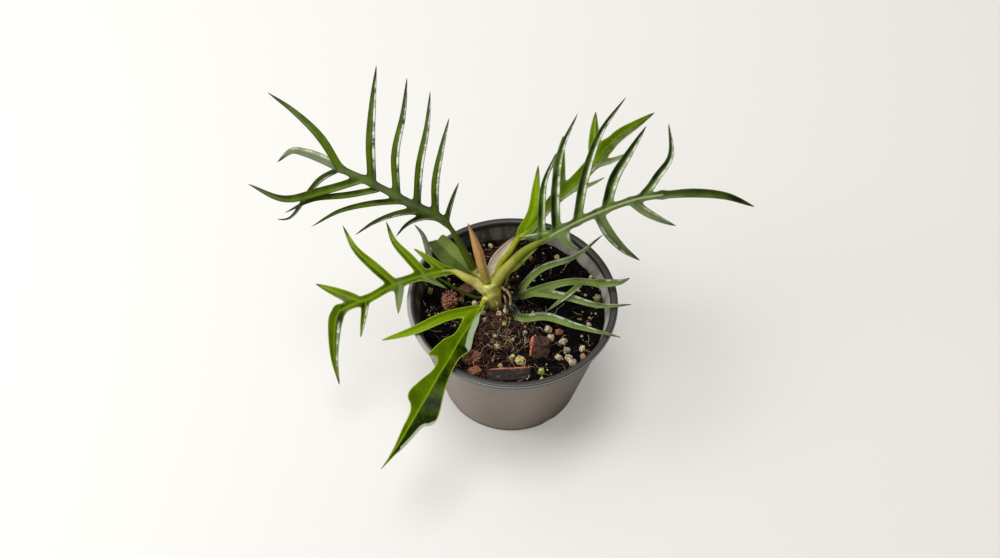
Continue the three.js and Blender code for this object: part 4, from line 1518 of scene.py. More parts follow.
@dataclass(frozen=True)
class Stem:
    """The short stem with the feet of its stalks grown into it, and the roots that leave it in the air."""

    line: tuple[Point, ...] = ((-9.5, 2.5, 50), (-10, 4.3, 61), (-12, 7.5, 75))
    radii: tuple[float, ...] = (3.2, 4.4, 4.7, 4.8, 5.2, 4.2)
    feet: tuple[Foot, ...] = (
        Foot(0, 3.0, 2.0, 1.5, 0.15),
        Foot(1, 3.7, 2.5, 1.6, 0.45),
        Foot(2, 2.3, 1.5, 0.8, 0.8),
        Foot(3, 3.5, 2.35, 1.7, 0.9),
        Foot(4, 2.6, 1.8, 1.3, 1.0),
    )
    roots: tuple[tuple[tuple[Point, ...], float], ...] = (
        (((0.5, -4, 4), (3.5, -6.3, 4.5), (5.2, -9, 4), (5.8, -15, 3), (8.5, -22, 5.5)), 0.75),
        (((-5, -9, 2), (-2, -12, 4), (-1, -16, 2.5)), 0.8),
        (((2, -8, 1), (3, -12, 2.5), (2.5, -17, 1.5)), 0.55),
    )
    voxel: float = 0.34
    sides: int = 40
    foot_sides: int = 24

    def body(self) -> Shell:
        """The stem and its feet, not yet grown together.

        Returns:
            The overlapping rods.
        """
        line = smooth_curve(np.array(self.line), 30)
        share = np.linspace(0, 1, len(line))
        rod = tube(line, np.interp(share, np.linspace(0, 1, len(self.radii)), self.radii), self.sides)
        centre = np.repeat(line, self.sides, axis=0)
        uneven = 1 + 0.07 * waves(rod.points, 3.6, 2)
        rod.points = centre + (rod.points - centre) * uneven[:, None]
        parts = [rod]
        for foot in self.feet:
            way = self.foot_line(foot)
            slim = smoothstep(np.linspace(0, 1, len(way)), 0.0, 1.0)
            parts.append(tube(way, foot.wide + (foot.slim - foot.wide) * slim, self.foot_sides))
        return joined(parts)

    def foot_line(self, foot: Foot) -> Array:
        """The part of the leaf's rib that its foot covers."""
        rib = smooth_curve(np.array(LEAVES[foot.leaf].rib), PER_SPAN)
        return PLANE.place(rib[:int(foot.length * PER_SPAN) + 1])

    def grown(self) -> Shell:
        """The stem and its feet as one smooth skin, with how near each spot is to a foot.

        Returns:
            The skin with its tone.
        """
        rough = mesh_object("stem_rough", self.body())
        net = rough.modifiers.new("net", "REMESH")
        net.mode, net.voxel_size = "VOXEL", self.voxel * MM
        calm = rough.modifiers.new("calm", "SMOOTH")
        calm.factor, calm.iterations = 0.5, 12
        baked = evaluated(rough)
        baked.calc_loop_triangles()
        points = np.array([v.co for v in baked.vertices]) / MM
        faces = np.array([t.vertices for t in baked.loop_triangles])
        bpy.data.objects.remove(rough)
        bpy.data.meshes.remove(baked)
        pull = np.full(len(points), 0.02)
        tone = np.full(len(points), 0.02 * 0.6)
        for foot in self.feet:
            way = self.foot_line(foot)[PER_SPAN // 3:]
            near = np.min([((points - spot) ** 2).sum(1) for spot in way], axis=0)
            pull += 1 / (near + 4)
            tone += foot.tone / (near + 4)
        return Shell(points, faces, {"tone": tone / pull})

    def shell(self) -> Shell:
        """The grown stem with its roots.

        Returns:
            The stem with its masks.
        """
        parts = [self.grown()]
        for points, radius in self.roots:
            way = smooth_curve(PLANE.place(np.array(points)), PER_SPAN)
            thin = tube(way, radius * (1 + 0.25 * waves(way, 1.6, 4)) * np.linspace(1.2, 0.7, len(way)), 12)
            parts.append(Shell(thin.points, thin.faces, {"root": np.ones(len(thin.points))}))
        return joined(parts)

    def material(self) -> Material:
        """Olive to yellow skin with a painted highlight in cream on its left side, brown low down; the roots are
        tan.

        Returns:
            The material.
        """
        make = Finish("stem_skin", 0.36)
        make.constant(specular_ior_level=0.25)
        x, _, z = make.axes()
        colour = make.blend(make.rise(make.mask("tone"), 0.15, 0.95), rgb(92, 104, 26), rgb(196, 192, 84))
        # Painted highlight: cream on the left side of the stem.
        cream = make.times(make.rise(x, -0.008, -0.0145), make.patches(300, 3, 0.35, 0.6, 0.75))
        colour = make.blend(cream, colour, rgb(226, 220, 150))
        colour = make.blend(make.patches(240, 4, 0.56, 0.72, 0.55), colour, rgb(124, 96, 34))
        colour = make.blend(make.rise(z, 0.066, 0.060, 0.8), colour, rgb(104, 82, 38))
        root = make.blend(make.patches(700, 3, 0.35, 0.65), rgb(116, 92, 56), rgb(186, 168, 116))
        make.colour(make.blend(make.mask("root"), colour, root))
        make.bump(make.mottle(600, 3, (1.0, 1.0, 2.5)), 0.00025, 0.6)
        return make.material

    def make(self) -> Object:
        """Builds and dresses the stem."""
        return finished(mesh_object("stem_and_roots", self.shell()), self.material(), Slot.STEM, "stem")


@dataclass(frozen=True)
class Scroll:
    """A rolled or troughed strip up a few points of the plane, with a half width at each."""

    name: str
    node: str
    points: tuple[Point, ...]
    halves: tuple[float, ...]
    wrap: float
    overlap: float
    slot: Slot
    thick: float = 0.35
    samples: int = 29

    def shell(self) -> Shell:
        """A thin wall bent round the line, from a shallow trough to a closed roll.

        Returns:
            The closed strip.
        """
        line = smooth_curve(np.array(self.points), PER_SPAN)
        count = len(line)
        halves = smooth_curve(np.array(self.halves)[:, None], PER_SPAN)[:, 0].clip(0.12)
        way = np.gradient(line, axis=0)
        way /= np.linalg.norm(way, axis=1)[:, None]
        side = np.cross(way, [0, 0, 1.0])
        side /= np.linalg.norm(side, axis=1)[:, None]
        face = np.cross(side, way)
        turns = np.linspace(-self.wrap, self.wrap, self.samples)
        spiral = 1 - self.overlap * (turns - turns[0]) / (turns[-1] - turns[0])
        rings = []
        for centre, across, out, half in zip(line, side, face, halves):
            outer = (np.sin(turns) * spiral)[:, None] * across - (np.cos(turns) * spiral)[:, None] * out
            scale = half / (1 if self.wrap > 1.5 else math.sin(self.wrap))
            middle = centre + (0 if self.wrap > 1.5 else scale * math.cos(self.wrap)) * out
            inner_scale = max(scale - self.thick, scale * 0.55)
            rings.append(np.vstack([middle + outer * scale, (middle + outer * inner_scale)[::-1]]))
        rings = np.array(rings)
        across = np.linspace(0, 1, self.samples)
        values = {"along": np.repeat(np.linspace(0, 1, count), rings.shape[1]),
                  "turn": np.tile(np.concatenate([across, np.linspace(1, 0, self.samples)]), count)}
        shell = Shell(rings.reshape(-1, 3), skin(rings), values)
        if shell.volume() < 0:
            shell.faces = shell.faces[:, ::-1]
        return shell

    def make(self, material: Material) -> Object:
        """Builds and dresses the strip."""
        return finished(mesh_object(self.name, self.shell().moved(PLANE)), material, self.slot, self.node)


SHOOT = Scroll("shoot_scroll", "shoot",
               ((-6.4, -1.4, 6.7), (-9, 6, 11), (-10.8, 13, 13), (-13.5, 21, 15), (-16.5, 28.5, 16.5)),
               (2.2, 2.9, 2.9, 1.9, 0.3), wrap=3.5, overlap=0.22, slot=Slot.SHOOT)
SHEATH = Scroll("sheath_paper", "sheath",
                ((-3.1, -3.5, -1.6), (-4.6, 3.5, -1.6), (-2, 9.5, -1.4), (3, 16, -1.6), (8, 22, -2.2)),
                (1.7, 2.5, 3.1, 2.5, 0.8), wrap=1.0, overlap=0.0, slot=Slot.SHEATH, thick=0.3)
BRACT = Scroll("bract_strip", "bract",
               ((-1.5, -5.5, 1), (2.5, -3, 1), (5, 3, 2), (8, 5.5, 3), (11.5, 9, 4), (15.5, 13, 5), (19.5, 16, 6)),
               (0.7, 0.6, 0.6, 1.1, 1.2, 0.9, 0.3), wrap=0.9, overlap=0.0, slot=Slot.LEAF, thick=0.3)


def shoot_material() -> Material:
    """Tan rolled leaf, greener at its foot, with fine lines up it.

    Returns:
        The material.
    """
    make = Finish("shoot_skin", 0.4)
    lines = make.place(LINES, count=90.0, most=0.3)
    colour = make.blend(make.rise(make.mask("along"), 0.0, 0.5), rgb(176, 164, 72), rgb(192, 146, 84))
    colour = make.blend(make.rise(make.mask("along"), 0.8, 1.0), colour, rgb(150, 120, 96))
    colour = make.blend(lines["Mask"], colour, rgb(206, 160, 110))
    make.colour(make.blend(make.patches(500, 3, 0.35, 0.7, 0.3), colour, rgb(150, 104, 58)))
    make.bump(lines["Height"], 0.00006, 0.5)
    make.translucent(rgb(200, 130, 70), 0.15)
    return make.material


def sheath_material() -> Material:
    """Thin dry paper, pink and cream, with lines along it.

    Returns:
        The material.
    """
    make = Finish("sheath_paper", 0.6)
    lines = make.place(LINES, count=70.0, most=0.35)
    colour = make.blend(make.patches(300, 4, 0.35, 0.65), rgb(232, 210, 196), rgb(252, 246, 234))
    colour = make.blend(lines["Mask"], colour, rgb(170, 120, 100))
    make.colour(make.blend(make.rise(make.mask("along"), 0.8, 1.0, 0.7), colour, rgb(130, 84, 60)))
    make.bump(lines["Height"], 0.0001, 0.5)
    make.translucent(rgb(240, 214, 190), 0.3)
    return make.material


def bract_material() -> Material:
    """Bright lime strip, a little mottled.

    Returns:
        The material.
    """
    make = Finish("bract_green", 0.35)
    colour = make.blend(make.patches(250, 3, 0.3, 0.7), rgb(132, 166, 26), rgb(188, 204, 74))
    make.colour(make.blend(make.rise(make.mask("along"), 0.85, 1.0, 0.8), colour, rgb(120, 110, 50)))
    make.bump(make.mottle(1200, 2), 0.00006, 0.5)
    make.translucent(rgb(150, 180, 40), 0.15)
    return make.material


@dataclass(frozen=True)
class Chunk:
    """A loose piece in the mix: its middle, half sizes and turn in degrees.

    Attributes:
        tone: How bright its bark is.
        edge: The side that shows fresh bark.
    """

    node: str
    at: Point
    half: Point
    turn: Point
    seed: int
    slot: Slot = Slot.BARK
    tone: float = 0.4
    edge: Point = (-1, 0, 0)

    def shell(self) -> Shell:
        """The lump, more ragged where it is coir.

        Returns:
            The lump in place.
        """
        coir = self.slot is Slot.COIR
        rough, size, square = (0.34, 0.26, 3.0) if coir else (0.12, 0.4, 7.0)
        piece = lump(np.array(self.half), self.seed, 6, rough, size, square)
        fresh = smoothstep(piece.points / self.half @ np.array(self.edge), 0.72, 0.9)
        piece.values = {"fresh": fresh, "tone": np.full(len(fresh), self.tone)}
        return turned(piece, self.turn, self.at)

    def make(self, materials: dict[Slot, Material]) -> Object:
        """Builds and dresses the chunk."""
        return finished(mesh_object(self.node + "_piece", self.shell()), materials[self.slot], self.slot, self.node)


CHUNKS = [
    Chunk("coir_lump_left", (-33, 3.5, 63), (3.6, 4.4, 5.0), (0, 10, 20), 3, Slot.COIR),
    Chunk("coir_lump_front", (-20.5, -31.5, 62), (4.2, 3.6, 3.4), (8, 0, -25), 7, Slot.COIR),
    Chunk("bark_chip_back", (-24, 12.5, 61.5), (4.2, 3.2, 2.2), (6, -8, 30), 11, tone=0.5),
    Chunk("bark_plate", (14.3, -25.6, 62.2), (5, 2.8, 6.6), (-28, 4, -6), 13, tone=0.2),
    Chunk("bark_strip", (-1.5, -41.2, 61.7), (10.8, 3.4, 1.7), (20, 4, 7), 17, tone=-0.05, edge=(0, 0.78, 0.2)),
    Chunk("bark_chip_front", (-19, -40, 61.8), (3.2, 2.4, 2.2), (0, 15, 35), 19, tone=1.1, edge=(0, 0, -1)),
]


def bark_material() -> Material:
    """Brown bark in layers, with orange edges and cracks.

    Returns:
        The material.
    """
    make = Finish("bark", 0.8)
    layers = make.mottle(240, 5, (0.5, 0.5, 2.5))
    tone = make.sum("ADD", make.mask("tone"), make.times(make.sum("SUBTRACT", layers, 0.5), 1.2))
    colour = make.blend(tone, rgb(30, 19, 15), rgb(150, 96, 70))
    colour = make.blend(make.patches(420, 4, 0.58, 0.7, 0.5), colour, rgb(140, 78, 52))
    colour = make.blend(make.mask("fresh"), colour, rgb(196, 114, 78))
    make.colour(make.blend(make.patches(900, 3, 0.3, 0.5), rgb(18, 12, 10), colour))
    make.bump(layers, 0.0012, 0.9)
    return make.material


def coir_material() -> Material:
    """Red-brown pith of short fibres.

    Returns:
        The material.
    """
    make = Finish("coir_pith", 0.9)
    fibres = make.mottle(900, 4, (1, 0.35, 1))
    colour = make.blend(make.rise(fibres, 0.35, 0.65), rgb(80, 42, 30), rgb(180, 120, 96))
    make.colour(make.blend(make.patches(260, 3, 0.55, 0.75, 0.8), colour, rgb(58, 24, 16)))
    make.bump(fibres, 0.001, 1.0)
    return make.material


@dataclass(frozen=True)
class Scatter:
    """Small shapes strewn over a surface by geometry nodes."""

    name: str
    density: float
    smallest: float
    largest: float
    seed: int
    lift: float = 0.0
    tilt: float = math.pi

    def tree(self, shapes: bpy.types.Collection, material: Material) -> bpy.types.NodeTree:
        """The node tree: points on the surface, a shape on each, made real.

        Args:
            shapes: What is strewn.
            material: Its material.

        Returns:
            The tree.
        """
        group = bpy.data.node_groups.new(self.name, "GeometryNodeTree")
        face = group.interface
        face.new_socket("Geometry", in_out="INPUT", socket_type="NodeSocketGeometry")
        for label in ("Density", "Smallest", "Largest", "Lift"):
            face.new_socket(label, in_out="INPUT", socket_type="NodeSocketFloat")
        face.new_socket("Geometry", in_out="OUTPUT", socket_type="NodeSocketGeometry")
        make = Tree(group)
        start, end = make.add("NodeGroupInput"), make.add("NodeGroupOutput")
        thick = make.add("GeometryNodeInputNamedAttribute", data_type="FLOAT")
        crowd = make.add("ShaderNodeMath", operation="MULTIPLY")
        tint = make.add("GeometryNodeStoreNamedAttribute", data_type="FLOAT", domain="INSTANCE")
        pick = make.add("FunctionNodeRandomValue", data_type="FLOAT")
        points = make.add("GeometryNodeDistributePointsOnFaces")
        move = make.add("GeometryNodeSetPosition")
        up = make.add("ShaderNodeCombineXYZ")
        kinds = make.add("GeometryNodeCollectionInfo")
        put = make.add("GeometryNodeInstanceOnPoints")
        spin = make.add("FunctionNodeRandomValue", data_type="FLOAT_VECTOR")
        size = make.add("FunctionNodeRandomValue", data_type="FLOAT")
        real = make.add("GeometryNodeRealizeInstances")
        dress = make.add("GeometryNodeSetMaterial")
        for socket, value in (
            (thick.inputs["Name"], "thick"), (tint.inputs["Name"], "tint"), (points.inputs["Seed"], self.seed),
            (spin.inputs["Seed"], self.seed + 1), (size.inputs["Seed"], self.seed + 2),
            (pick.inputs["Seed"], self.seed + 3), (kinds.inputs["Collection"], shapes),
            (kinds.inputs["Separate Children"], True), (kinds.inputs["Reset Children"], True),
            (put.inputs["Pick Instance"], True), (spin.inputs[0], (-self.tilt, -self.tilt, -math.pi)),
            (spin.inputs[1], (self.tilt, self.tilt, math.pi)), (dress.inputs["Material"], material),
            (points.inputs["Mesh"], start.outputs["Geometry"]), (crowd.inputs[0], start.outputs["Density"]),
            (crowd.inputs[1], thick.outputs["Attribute"]), (points.inputs["Density"], crowd.outputs[0]),
            (up.inputs["Z"], start.outputs["Lift"]), (move.inputs["Geometry"], points.outputs["Points"]),
            (move.inputs["Offset"], up.outputs[0]), (put.inputs["Points"], move.outputs[0]),
            (put.inputs["Instance"], kinds.outputs[0]), (put.inputs["Rotation"], spin.outputs[0]),
            (size.inputs[2], start.outputs["Smallest"]), (size.inputs[3], start.outputs["Largest"]),
            (put.inputs["Scale"], size.outputs[1]), (tint.inputs["Geometry"], put.outputs[0]),
            (tint.inputs["Value"], pick.outputs[1]), (real.inputs[0], tint.outputs[0]),
            (dress.inputs["Geometry"], real.outputs[0]), (end.inputs[0], dress.outputs[0]),
        ):
            make.plug(socket, value)
        return group

    def make(self, ground: Shell, shapes: list[Shell], material: Material, slot: Slot) -> Object:
        """Strews the shapes over the ground and keeps them as one plain mesh.

        Args:
            ground: Where, and how thick.
            shapes: What is strewn.
            material: Its material.
            slot: Its slot.

        Returns:
            The piece.
        """
        bed = mesh_object(self.name, ground)
        kinds = bpy.data.collections.new(self.name + "_shapes")
        models = [mesh_object(f"{self.name}_{i}", shape) for i, shape in enumerate(shapes)]
        for model in models:
            bpy.context.scene.collection.objects.unlink(model)
            kinds.objects.link(model)
        modifier = bed.modifiers.new("strew", "NODES")
        modifier.node_group = self.tree(kinds, material)
        sizes = {"Density": self.density, "Smallest": self.smallest, "Largest": self.largest,
                 "Lift": self.lift * MM}
        for item in modifier.node_group.interface.items_tree:
            if item.in_out == "INPUT" and item.name in sizes:
                modifier[item.identifier] = sizes[item.name]
        mesh = evaluated(bed)
        bed.modifiers.clear()
        bed.data = mesh
        mesh.polygons.foreach_set("use_smooth", np.ones(len(mesh.polygons), bool))
        for model in models:
            bpy.data.objects.remove(model)
        bpy.data.collections.remove(kinds)
        return finished(bed, material, slot)


class Grain(Enum):
    """The kinds of pale grain, each with its place on the tint scale of their material."""

    CREAM = 0.05
    PINK = 0.25
    YELLOW = 0.45
    OLIVE = 0.65
    GREEN = 0.8
    ORANGE = 0.95


@dataclass(frozen=True)
class Mix:
    """The potting mix: a dark uneven bed with crumbs, fibres and pale grains."""

    level: float = 61.0
    mound: float = 1.2
    mound_reach: float = 22.0
    mound_middle: tuple[float, float] = (-10.0, 4.3)
    roughness: float = 0.55
    radius: float = 48.6
    step: float = 0.62
    seed: int = 41
    tangle: Point = (-8.0, -18.0, 20.0)
    grain_size: float = 0.88
    sprinkle: int = 110
    sprinkle_reach: float = 47.0
    below: tuple[tuple[float, float], ...] = ((48.0, 56), (37, 4), (35, 1.9))
    grains: tuple[tuple[float, float, float, Grain], ...] = (
        (-19.5, 3, 2, Grain.CREAM), (-13.5, 0.5, 1.9, Grain.OLIVE), (-27, 5.5, 1.7, Grain.OLIVE),
        (-15.5, -3, 1.6, Grain.CREAM), (-7, -3, 1.6, Grain.CREAM), (-3.5, -2, 1.6, Grain.CREAM),
        (-14.5, -7, 1.3, Grain.PINK), (-4, -10, 1.5, Grain.GREEN), (-9, -17, 1.3, Grain.YELLOW),
        (-7.5, -24, 1.7, Grain.YELLOW), (7, -14.5, 1.3, Grain.PINK), (19, -12.5, 2.3, Grain.CREAM),
        (24.5, -14, 2.1, Grain.ORANGE), (20, -18, 2, Grain.CREAM), (26.5, -20, 2.1, Grain.PINK),
        (24, -30, 2, Grain.PINK), (29, -30, 2.2, Grain.CREAM), (31, -33, 2.1, Grain.PINK),
        (36, -24.5, 1.8, Grain.CREAM), (36.5, -29.5, 1.9, Grain.ORANGE), (15, -38.5, 2, Grain.GREEN),
        (15.5, -43, 1.4, Grain.GREEN), (4.2, -32.6, 2.5, Grain.YELLOW), (0.3, -30.6, 1.9, Grain.YELLOW),
        (-6, -35, 1.4, Grain.YELLOW), (-43.5, 11.5, 1.9, Grain.OLIVE), (-12, 43, 1.6, Grain.YELLOW),
        (45, 8.5, 2.3, Grain.GREEN), (44.5, 3, 1.5, Grain.CREAM), (42, 22, 1.5, Grain.CREAM),
        (10, 35, 1.6, Grain.OLIVE), (-30, 28, 1.6, Grain.CREAM), (40, -9, 1.5, Grain.PINK),
        (-28, -36, 1.5, Grain.OLIVE), (24, 36, 1.6, Grain.YELLOW), (28.5, -25, 1.8, Grain.PINK),
    )

    def height(self, x: Array, y: Array) -> Array:
        """The height of the bed: a low mound at the stem, with waves of two lengths.

        Args:
            x: Across.
            y: Away.

        Returns:
            A height a place.
        """
        away = np.hypot(x - self.mound_middle[0], y - self.mound_middle[1]) / self.mound_reach
        broad = np.sin(x * 0.42 + 1.3) * np.cos(y * 0.37)
        fine = 0.6 * np.sin((x + y) * 0.81)
        return self.level + self.mound * np.exp(-away * away) + self.roughness * (broad + fine - 1)

    def top(self, tangle: bool = False) -> Shell:
        """The open upper face of the bed, with lumps on it, and how thick things lie on it.

        Args:
            tangle: Whether things lie thick round the tangle only.

        Returns:
            The face.
        """
        rings = np.arange(self.step, self.radius + self.step / 2, self.step)
        points, starts = [np.zeros((1, 2))], [0]
        faces: list[Array] = []
        total = 1
        for number, radius in enumerate(rings):
            sides = 6 * (number + 1)
            turn = np.linspace(0, 2 * np.pi, sides, endpoint=False)
            points.append(np.column_stack([radius * np.cos(turn), radius * np.sin(turn)]))
            if number == 0:
                j = np.arange(sides)
                faces.append(np.column_stack([np.zeros(sides, int), 1 + j, 1 + (j + 1) % sides]))
            else:
                faces.append(ring_between(starts[-1], sides - 6, total, sides))
            starts.append(total)
            total += sides
        flat = np.vstack(points)
        level = np.column_stack([flat, np.zeros(len(flat))])
        z = self.height(*flat.T) + 0.5 * waves(level, 3.1, self.seed) + 0.35 * waves(level, 1.1, self.seed + 1)
        middle, reach = np.array(self.tangle[:2]), self.tangle[2]
        thick = 0.1 + np.exp(-(np.linalg.norm(flat - middle, axis=1) / reach) ** 2) if tangle else np.ones(len(flat))
        return Shell(np.column_stack([flat, z]), np.vstack(faces), {"thick": thick})

    def bed(self) -> Shell:
        """The top with a side and a bottom inside the pot.

        Returns:
            The closed bed.
        """
        top = self.top()
        sides = 6 * len(np.arange(self.step, self.radius + self.step / 2, self.step))
        rim = np.arange(len(top.points) - sides, len(top.points))
        edge = top.points[rim, :2] / self.radius
        low = [np.column_stack([edge * radius, np.full(sides, z)]) for radius, z in self.below]
        middle = len(top.points) + len(low) * sides
        points = np.vstack([top.points, *low, [[0, 0, self.below[-1][1]]]])
        faces = [top.faces]
        ring = rim
        for level in range(len(low)):
            below = len(top.points) + level * sides + np.arange(sides)
            faces.append(np.column_stack([ring, below, np.roll(below, -1)]))
            faces.append(np.column_stack([ring, np.roll(below, -1), np.roll(ring, -1)]))
            ring = below
        faces.append(np.column_stack([np.full(sides, middle), np.roll(ring, -1), ring]))
        return Shell(points, np.vstack(faces))

    def grain_shell(self) -> Shell:
        """The pale grains that are listed and a sprinkle of smaller ones.

        Returns:
            All grains.
        """
        random = np.random.default_rng(self.seed)
        spots = [(x, y, radius * self.grain_size, kind.value) for x, y, radius, kind in self.grains]
        kinds = [kind.value for kind in (Grain.CREAM, Grain.CREAM, Grain.PINK, Grain.YELLOW, Grain.OLIVE)]
        for _ in range(self.sprinkle):
            away, turn = self.sprinkle_reach * math.sqrt(random.random()), random.random() * 2 * math.pi
            spots.append((away * math.cos(turn), away * math.sin(turn), 0.4 + 0.5 * random.random() ** 2,
                          kinds[int(random.integers(len(kinds)))]))
        parts = []
        for number, (x, y, radius, tint) in enumerate(spots):
            half = radius * np.array([0.9 + 0.3 * random.random(), 0.85 + 0.25 * random.random(), 0.85])
            grain = lump(half, 50 + number, 3 if radius > 1.2 else 2, 0.32, 0.7)
            grain.values = {"tint": np.full(len(grain.points), tint)}
            lift = float(self.height(np.array(x), np.array(y))) + radius * 0.35
            turn = tuple(float(t) for t in random.uniform(0, 360, 3))
            parts.append(turned(grain, turn, (x, y, lift)))
        return joined(parts)

    def soil_material(self) -> Material:
        """Near-black damp peat, with brown bits left of the middle.

        Returns:
            The material.
        """
        make = Finish("potting_soil", 0.9)
        x = make.axes()[0]
        # Brown is kept to a band left of the middle; the near-black on either side is partly the peat's own colour
        # and partly painted shade.
        middle = make.times(make.rise(x, 0.016, -0.004), make.rise(x, -0.036, -0.022))
        brown = make.times(middle, make.patches(90, 4, 0.42, 0.62))
        colour = make.blend(make.patches(420, 5, 0.45, 0.75), rgb(3, 3, 3), rgb(16, 12, 10))
        colour = make.blend(make.times(brown, make.patches(520, 3, 0.4, 0.65)), colour, rgb(94, 58, 42))
        make.constant(specular_ior_level=0.1)
        make.colour(colour)
        make.bump(make.mottle(900, 4), 0.0009, 0.9)
        return make.material

    def fibre_material(self) -> Material:
        """Straw and coir fibres, from cream to red-brown.

        Returns:
            The material.
        """
        make = Finish("fibres", 0.7)
        tint = make.mask("tint")
        colour = make.blend(make.rise(tint, 0.3, 0.6), rgb(44, 26, 18), rgb(104, 62, 42))
        colour = make.blend(make.rise(tint, 0.68, 0.74), colour, rgb(176, 142, 100))
        make.colour(make.blend(make.rise(tint, 0.9, 0.93), colour, rgb(214, 202, 176)))
        return make.material

    def grain_material(self) -> Material:
        """Perlite and slow feed: cream, white, yellow, orange and green grains.

        Returns:
            The material.
        """
        make = Finish("grains", 0.65)
        tint = make.mask("tint")
        colour: object = rgb(206, 190, 152)
        for level, next_colour in ((0.15, rgb(190, 168, 146)), (0.35, rgb(204, 188, 120)),
                                   (0.55, rgb(132, 124, 58)), (0.72, rgb(168, 178, 98)),
                                   (0.88, rgb(178, 118, 74))):
            colour = make.blend(make.rise(tint, level, level + 0.01), colour, next_colour)
        make.colour(make.blend(make.patches(900, 3, 0.4, 0.66, 0.8), colour, rgb(78, 58, 42)))
        make.bump(make.mottle(1500, 3), 0.0003, 0.8)
        return make.material

    def fibre(self, seed: int, length: float, radius: float) -> Shell:
        """One curled fibre.

        Args:
            seed: Picks its curl.
            length: Its length.
            radius: Its radius.

        Returns:
            The fibre.
        """
        random = np.random.default_rng(seed)
        points = np.cumsum(np.vstack([np.zeros(3), random.normal(0, 0.35, (4, 3)) + [1, 0, 0]]), axis=0)
        line = smooth_curve(points * length / 4, 2)
        return tube(line - line.mean(0), np.full(len(line), radius) * np.linspace(1, 0.5, len(line)), 3)

    def make(self) -> None:
        """Builds the bed and strews what lies in it."""
        soil = self.soil_material()
        fibres = self.fibre_material()
        finished(mesh_object("soil_bed", self.bed()), soil, Slot.MIX, "soil")
        finished(mesh_object("pale_grains", self.grain_shell()), self.grain_material(), Slot.MIX)
        crumbs = [lump(np.array([1.0, 0.8, 0.7]), seed, 2, 0.3, 0.8) for seed in range(60, 64)]
        strewn = Scatter("crumbs", density=180000, smallest=0.25, largest=1.1, seed=5)
        strewn.make(self.top(), crumbs, soil, Slot.MIX)
        hairs = [self.fibre(seed, 7.5, 0.11) for seed in range(70, 78)]
        tangled = Scatter("fibres", density=470000, smallest=0.35, largest=1.5, seed=9, lift=0.7, tilt=0.45)
        tangled.make(self.top(True), hairs, fibres, Slot.MIX)


def ring_between(inner: int, inner_sides: int, outer: int, outer_sides: int) -> Array:
    """Triangles between two rings whose counts differ, walked round together.

    Args:
        inner: The inner ring's first point.
        inner_sides: Its count.
        outer: The outer ring's first point.
        outer_sides: Its count.

    Returns:
        The triangles.
    """
    faces = []
    i = j = 0
    while i < inner_sides or j < outer_sides:
        step_outer = j < outer_sides and (i >= inner_sides or (j + 1) / outer_sides <= (i + 1) / inner_sides)
        a, b = inner + i % inner_sides, outer + j % outer_sides
        if step_outer:
            faces.append((a, b, outer + (j + 1) % outer_sides))
            j += 1
        else:
            faces.append((a, b, inner + (i + 1) % inner_sides))
            i += 1
    return np.array(faces)


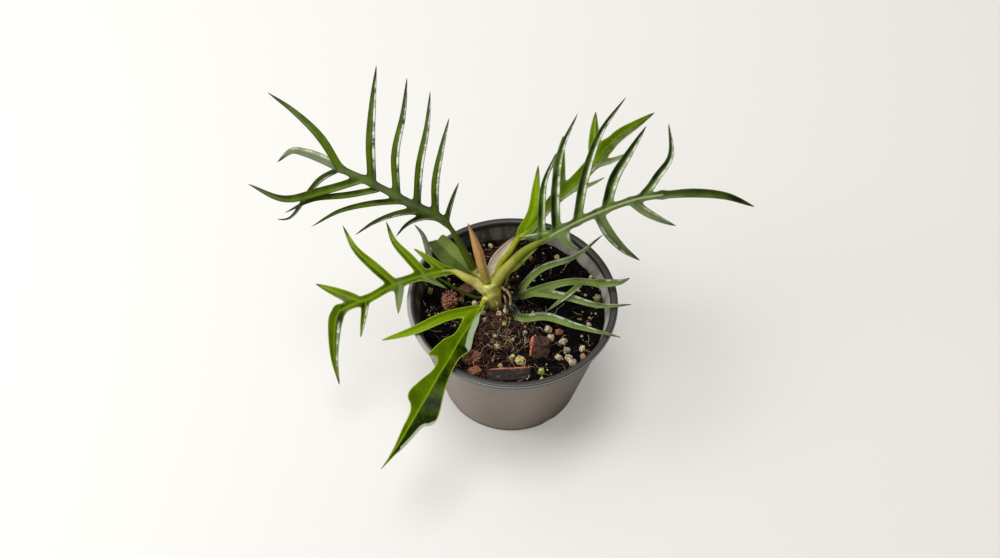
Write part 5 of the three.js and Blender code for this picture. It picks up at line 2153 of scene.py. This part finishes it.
@dataclass(frozen=True)
class Studio:
    """The pale floor, the soft light and the camera."""

    distance: float = 0.73
    lens: float = 50.0
    sensor: float = 36.0
    floor_half: float = 20.0
    sun_strength: float = 1.6
    sun_angle: float = 27.0
    sun_from: Point = (-0.08, 0.08, 1.0)
    sky: tuple[float, float] = (0.9, 0.03)
    pane_from: Point = (-0.9, -0.1, 0.75)
    pane_size: float = 0.5
    pane_power: float = 5.0
    # Painted light: how brightly the floor glows to the camera.
    glow: float = 0.285
    floor_shade: float = 0.64
    sun_colour: Colour = (0.98, 1.0, 1.02)
    pane_colour: Colour = (0.97, 0.99, 1.0)
    sky_colour: Colour = (1.0, 0.94, 0.86)

    def camera(self) -> None:
        """A camera square to the leaning plane."""
        data = bpy.data.cameras.new("camera")
        data.lens, data.sensor_width, data.sensor_fit = self.lens, self.sensor, "HORIZONTAL"
        data.clip_start, data.clip_end = 0.01, 50
        camera = placed("camera", data)
        axes = PLANE.axes()
        turn = Matrix(axes.tolist()).transposed().to_4x4()
        spot = Vector(PLANE.middle) * MM + Vector(axes[2]) * self.distance
        camera.matrix_world = Matrix.Translation(spot) @ turn
        bpy.context.scene.camera = camera

    def floor(self) -> None:
        """A wide plain floor with painted light: warmer and a little darker to the right, and a glow seen only by
        the camera.
        """
        half = self.floor_half
        mesh = bpy.data.meshes.new("floor")
        corners = [(-half, -half, 0), (half, -half, 0), (half, half, 0), (-half, half, 0)]
        mesh.from_pydata(corners, [], [(0, 1, 2, 3)])
        obj = placed("floor", mesh)
        make = Finish("floor_paper", 0.8)
        x, y, _ = make.axes()
        # Painted light: the floor turns warmer and darker to the right.
        painted_falloff = make.sum("SUBTRACT", x, make.times(y, 0.35))
        colour = make.blend(make.rise(painted_falloff, -0.45, 0.5), rgb(249, 248, 245), rgb(233, 230, 225))
        colour = make.blend(make.patches(3, 2, 0.3, 0.7, 0.02), colour, rgb(240, 236, 230))
        make.colour(make.blend(1.0, colour, (self.floor_shade,) * 3, "MULTIPLY"))
        make.plug(make.shader.inputs["Emission Color"], colour)
        # Painted light: the floor glows, for camera rays only.
        seen = make.add("ShaderNodeLightPath").outputs["Is Camera Ray"]
        make.plug(make.shader.inputs["Emission Strength"], make.times(seen, self.glow))
        make.constant(specular_ior_level=0.0)
        mesh.materials.append(make.material)

    def light(self) -> None:
        """A broad light from above, a pane on the left and a sky that fades to the right."""
        data = bpy.data.lights.new("window", "SUN")
        data.energy, data.angle, data.color = self.sun_strength, math.radians(self.sun_angle), self.sun_colour
        sun = placed("window", data)
        sun.rotation_euler = Vector(self.sun_from).to_track_quat("Z", "Y").to_euler()
        pane = bpy.data.lights.new("pane", "AREA")
        pane.energy, pane.size, pane.color = self.pane_power, self.pane_size, self.pane_colour
        glass = placed("pane", pane)
        glass.location = self.pane_from
        glass.rotation_euler = Vector(self.pane_from).to_track_quat("Z", "Y").to_euler()
        world = bpy.data.worlds.new("sky")
        world.use_nodes = True
        tree = world.node_tree
        back = tree.nodes["Background"]
        back.inputs["Color"].default_value = (*self.sky_colour, 1)
        place = tree.nodes.new("ShaderNodeTexCoord")
        axes = tree.nodes.new("ShaderNodeSeparateXYZ")
        fall = tree.nodes.new("ShaderNodeMapRange")
        fall.inputs["From Min"].default_value, fall.inputs["From Max"].default_value = -0.9, 0.9
        fall.inputs["To Min"].default_value, fall.inputs["To Max"].default_value = self.sky
        for source, target in ((place.outputs["Generated"], axes.inputs[0]),
                               (axes.outputs["X"], fall.inputs["Value"]),
                               (fall.outputs["Result"], back.inputs["Strength"])):
            tree.links.new(source, target)
        bpy.context.scene.world = world
        bpy.context.scene.view_settings.view_transform = "Standard"

    def make(self) -> None:
        """Sets up the camera, the floor and the light."""
        self.camera()
        self.floor()
        self.light()


def main() -> None:
    """Builds the plant, piece by piece."""
    logging.basicConfig(level=logging.INFO, format="%(name)s %(message)s")
    Studio().make()
    Pot().make()
    Mix().make()
    materials = {Slot.BARK: bark_material(), Slot.COIR: coir_material()}
    for chunk in CHUNKS:
        chunk.make(materials)
    Stem().make()
    for leaf in LEAVES:
        leaf.make()
    SHOOT.make(shoot_material())
    SHEATH.make(sheath_material())
    BRACT.make(bract_material())


if __name__ == "__main__":
    main()
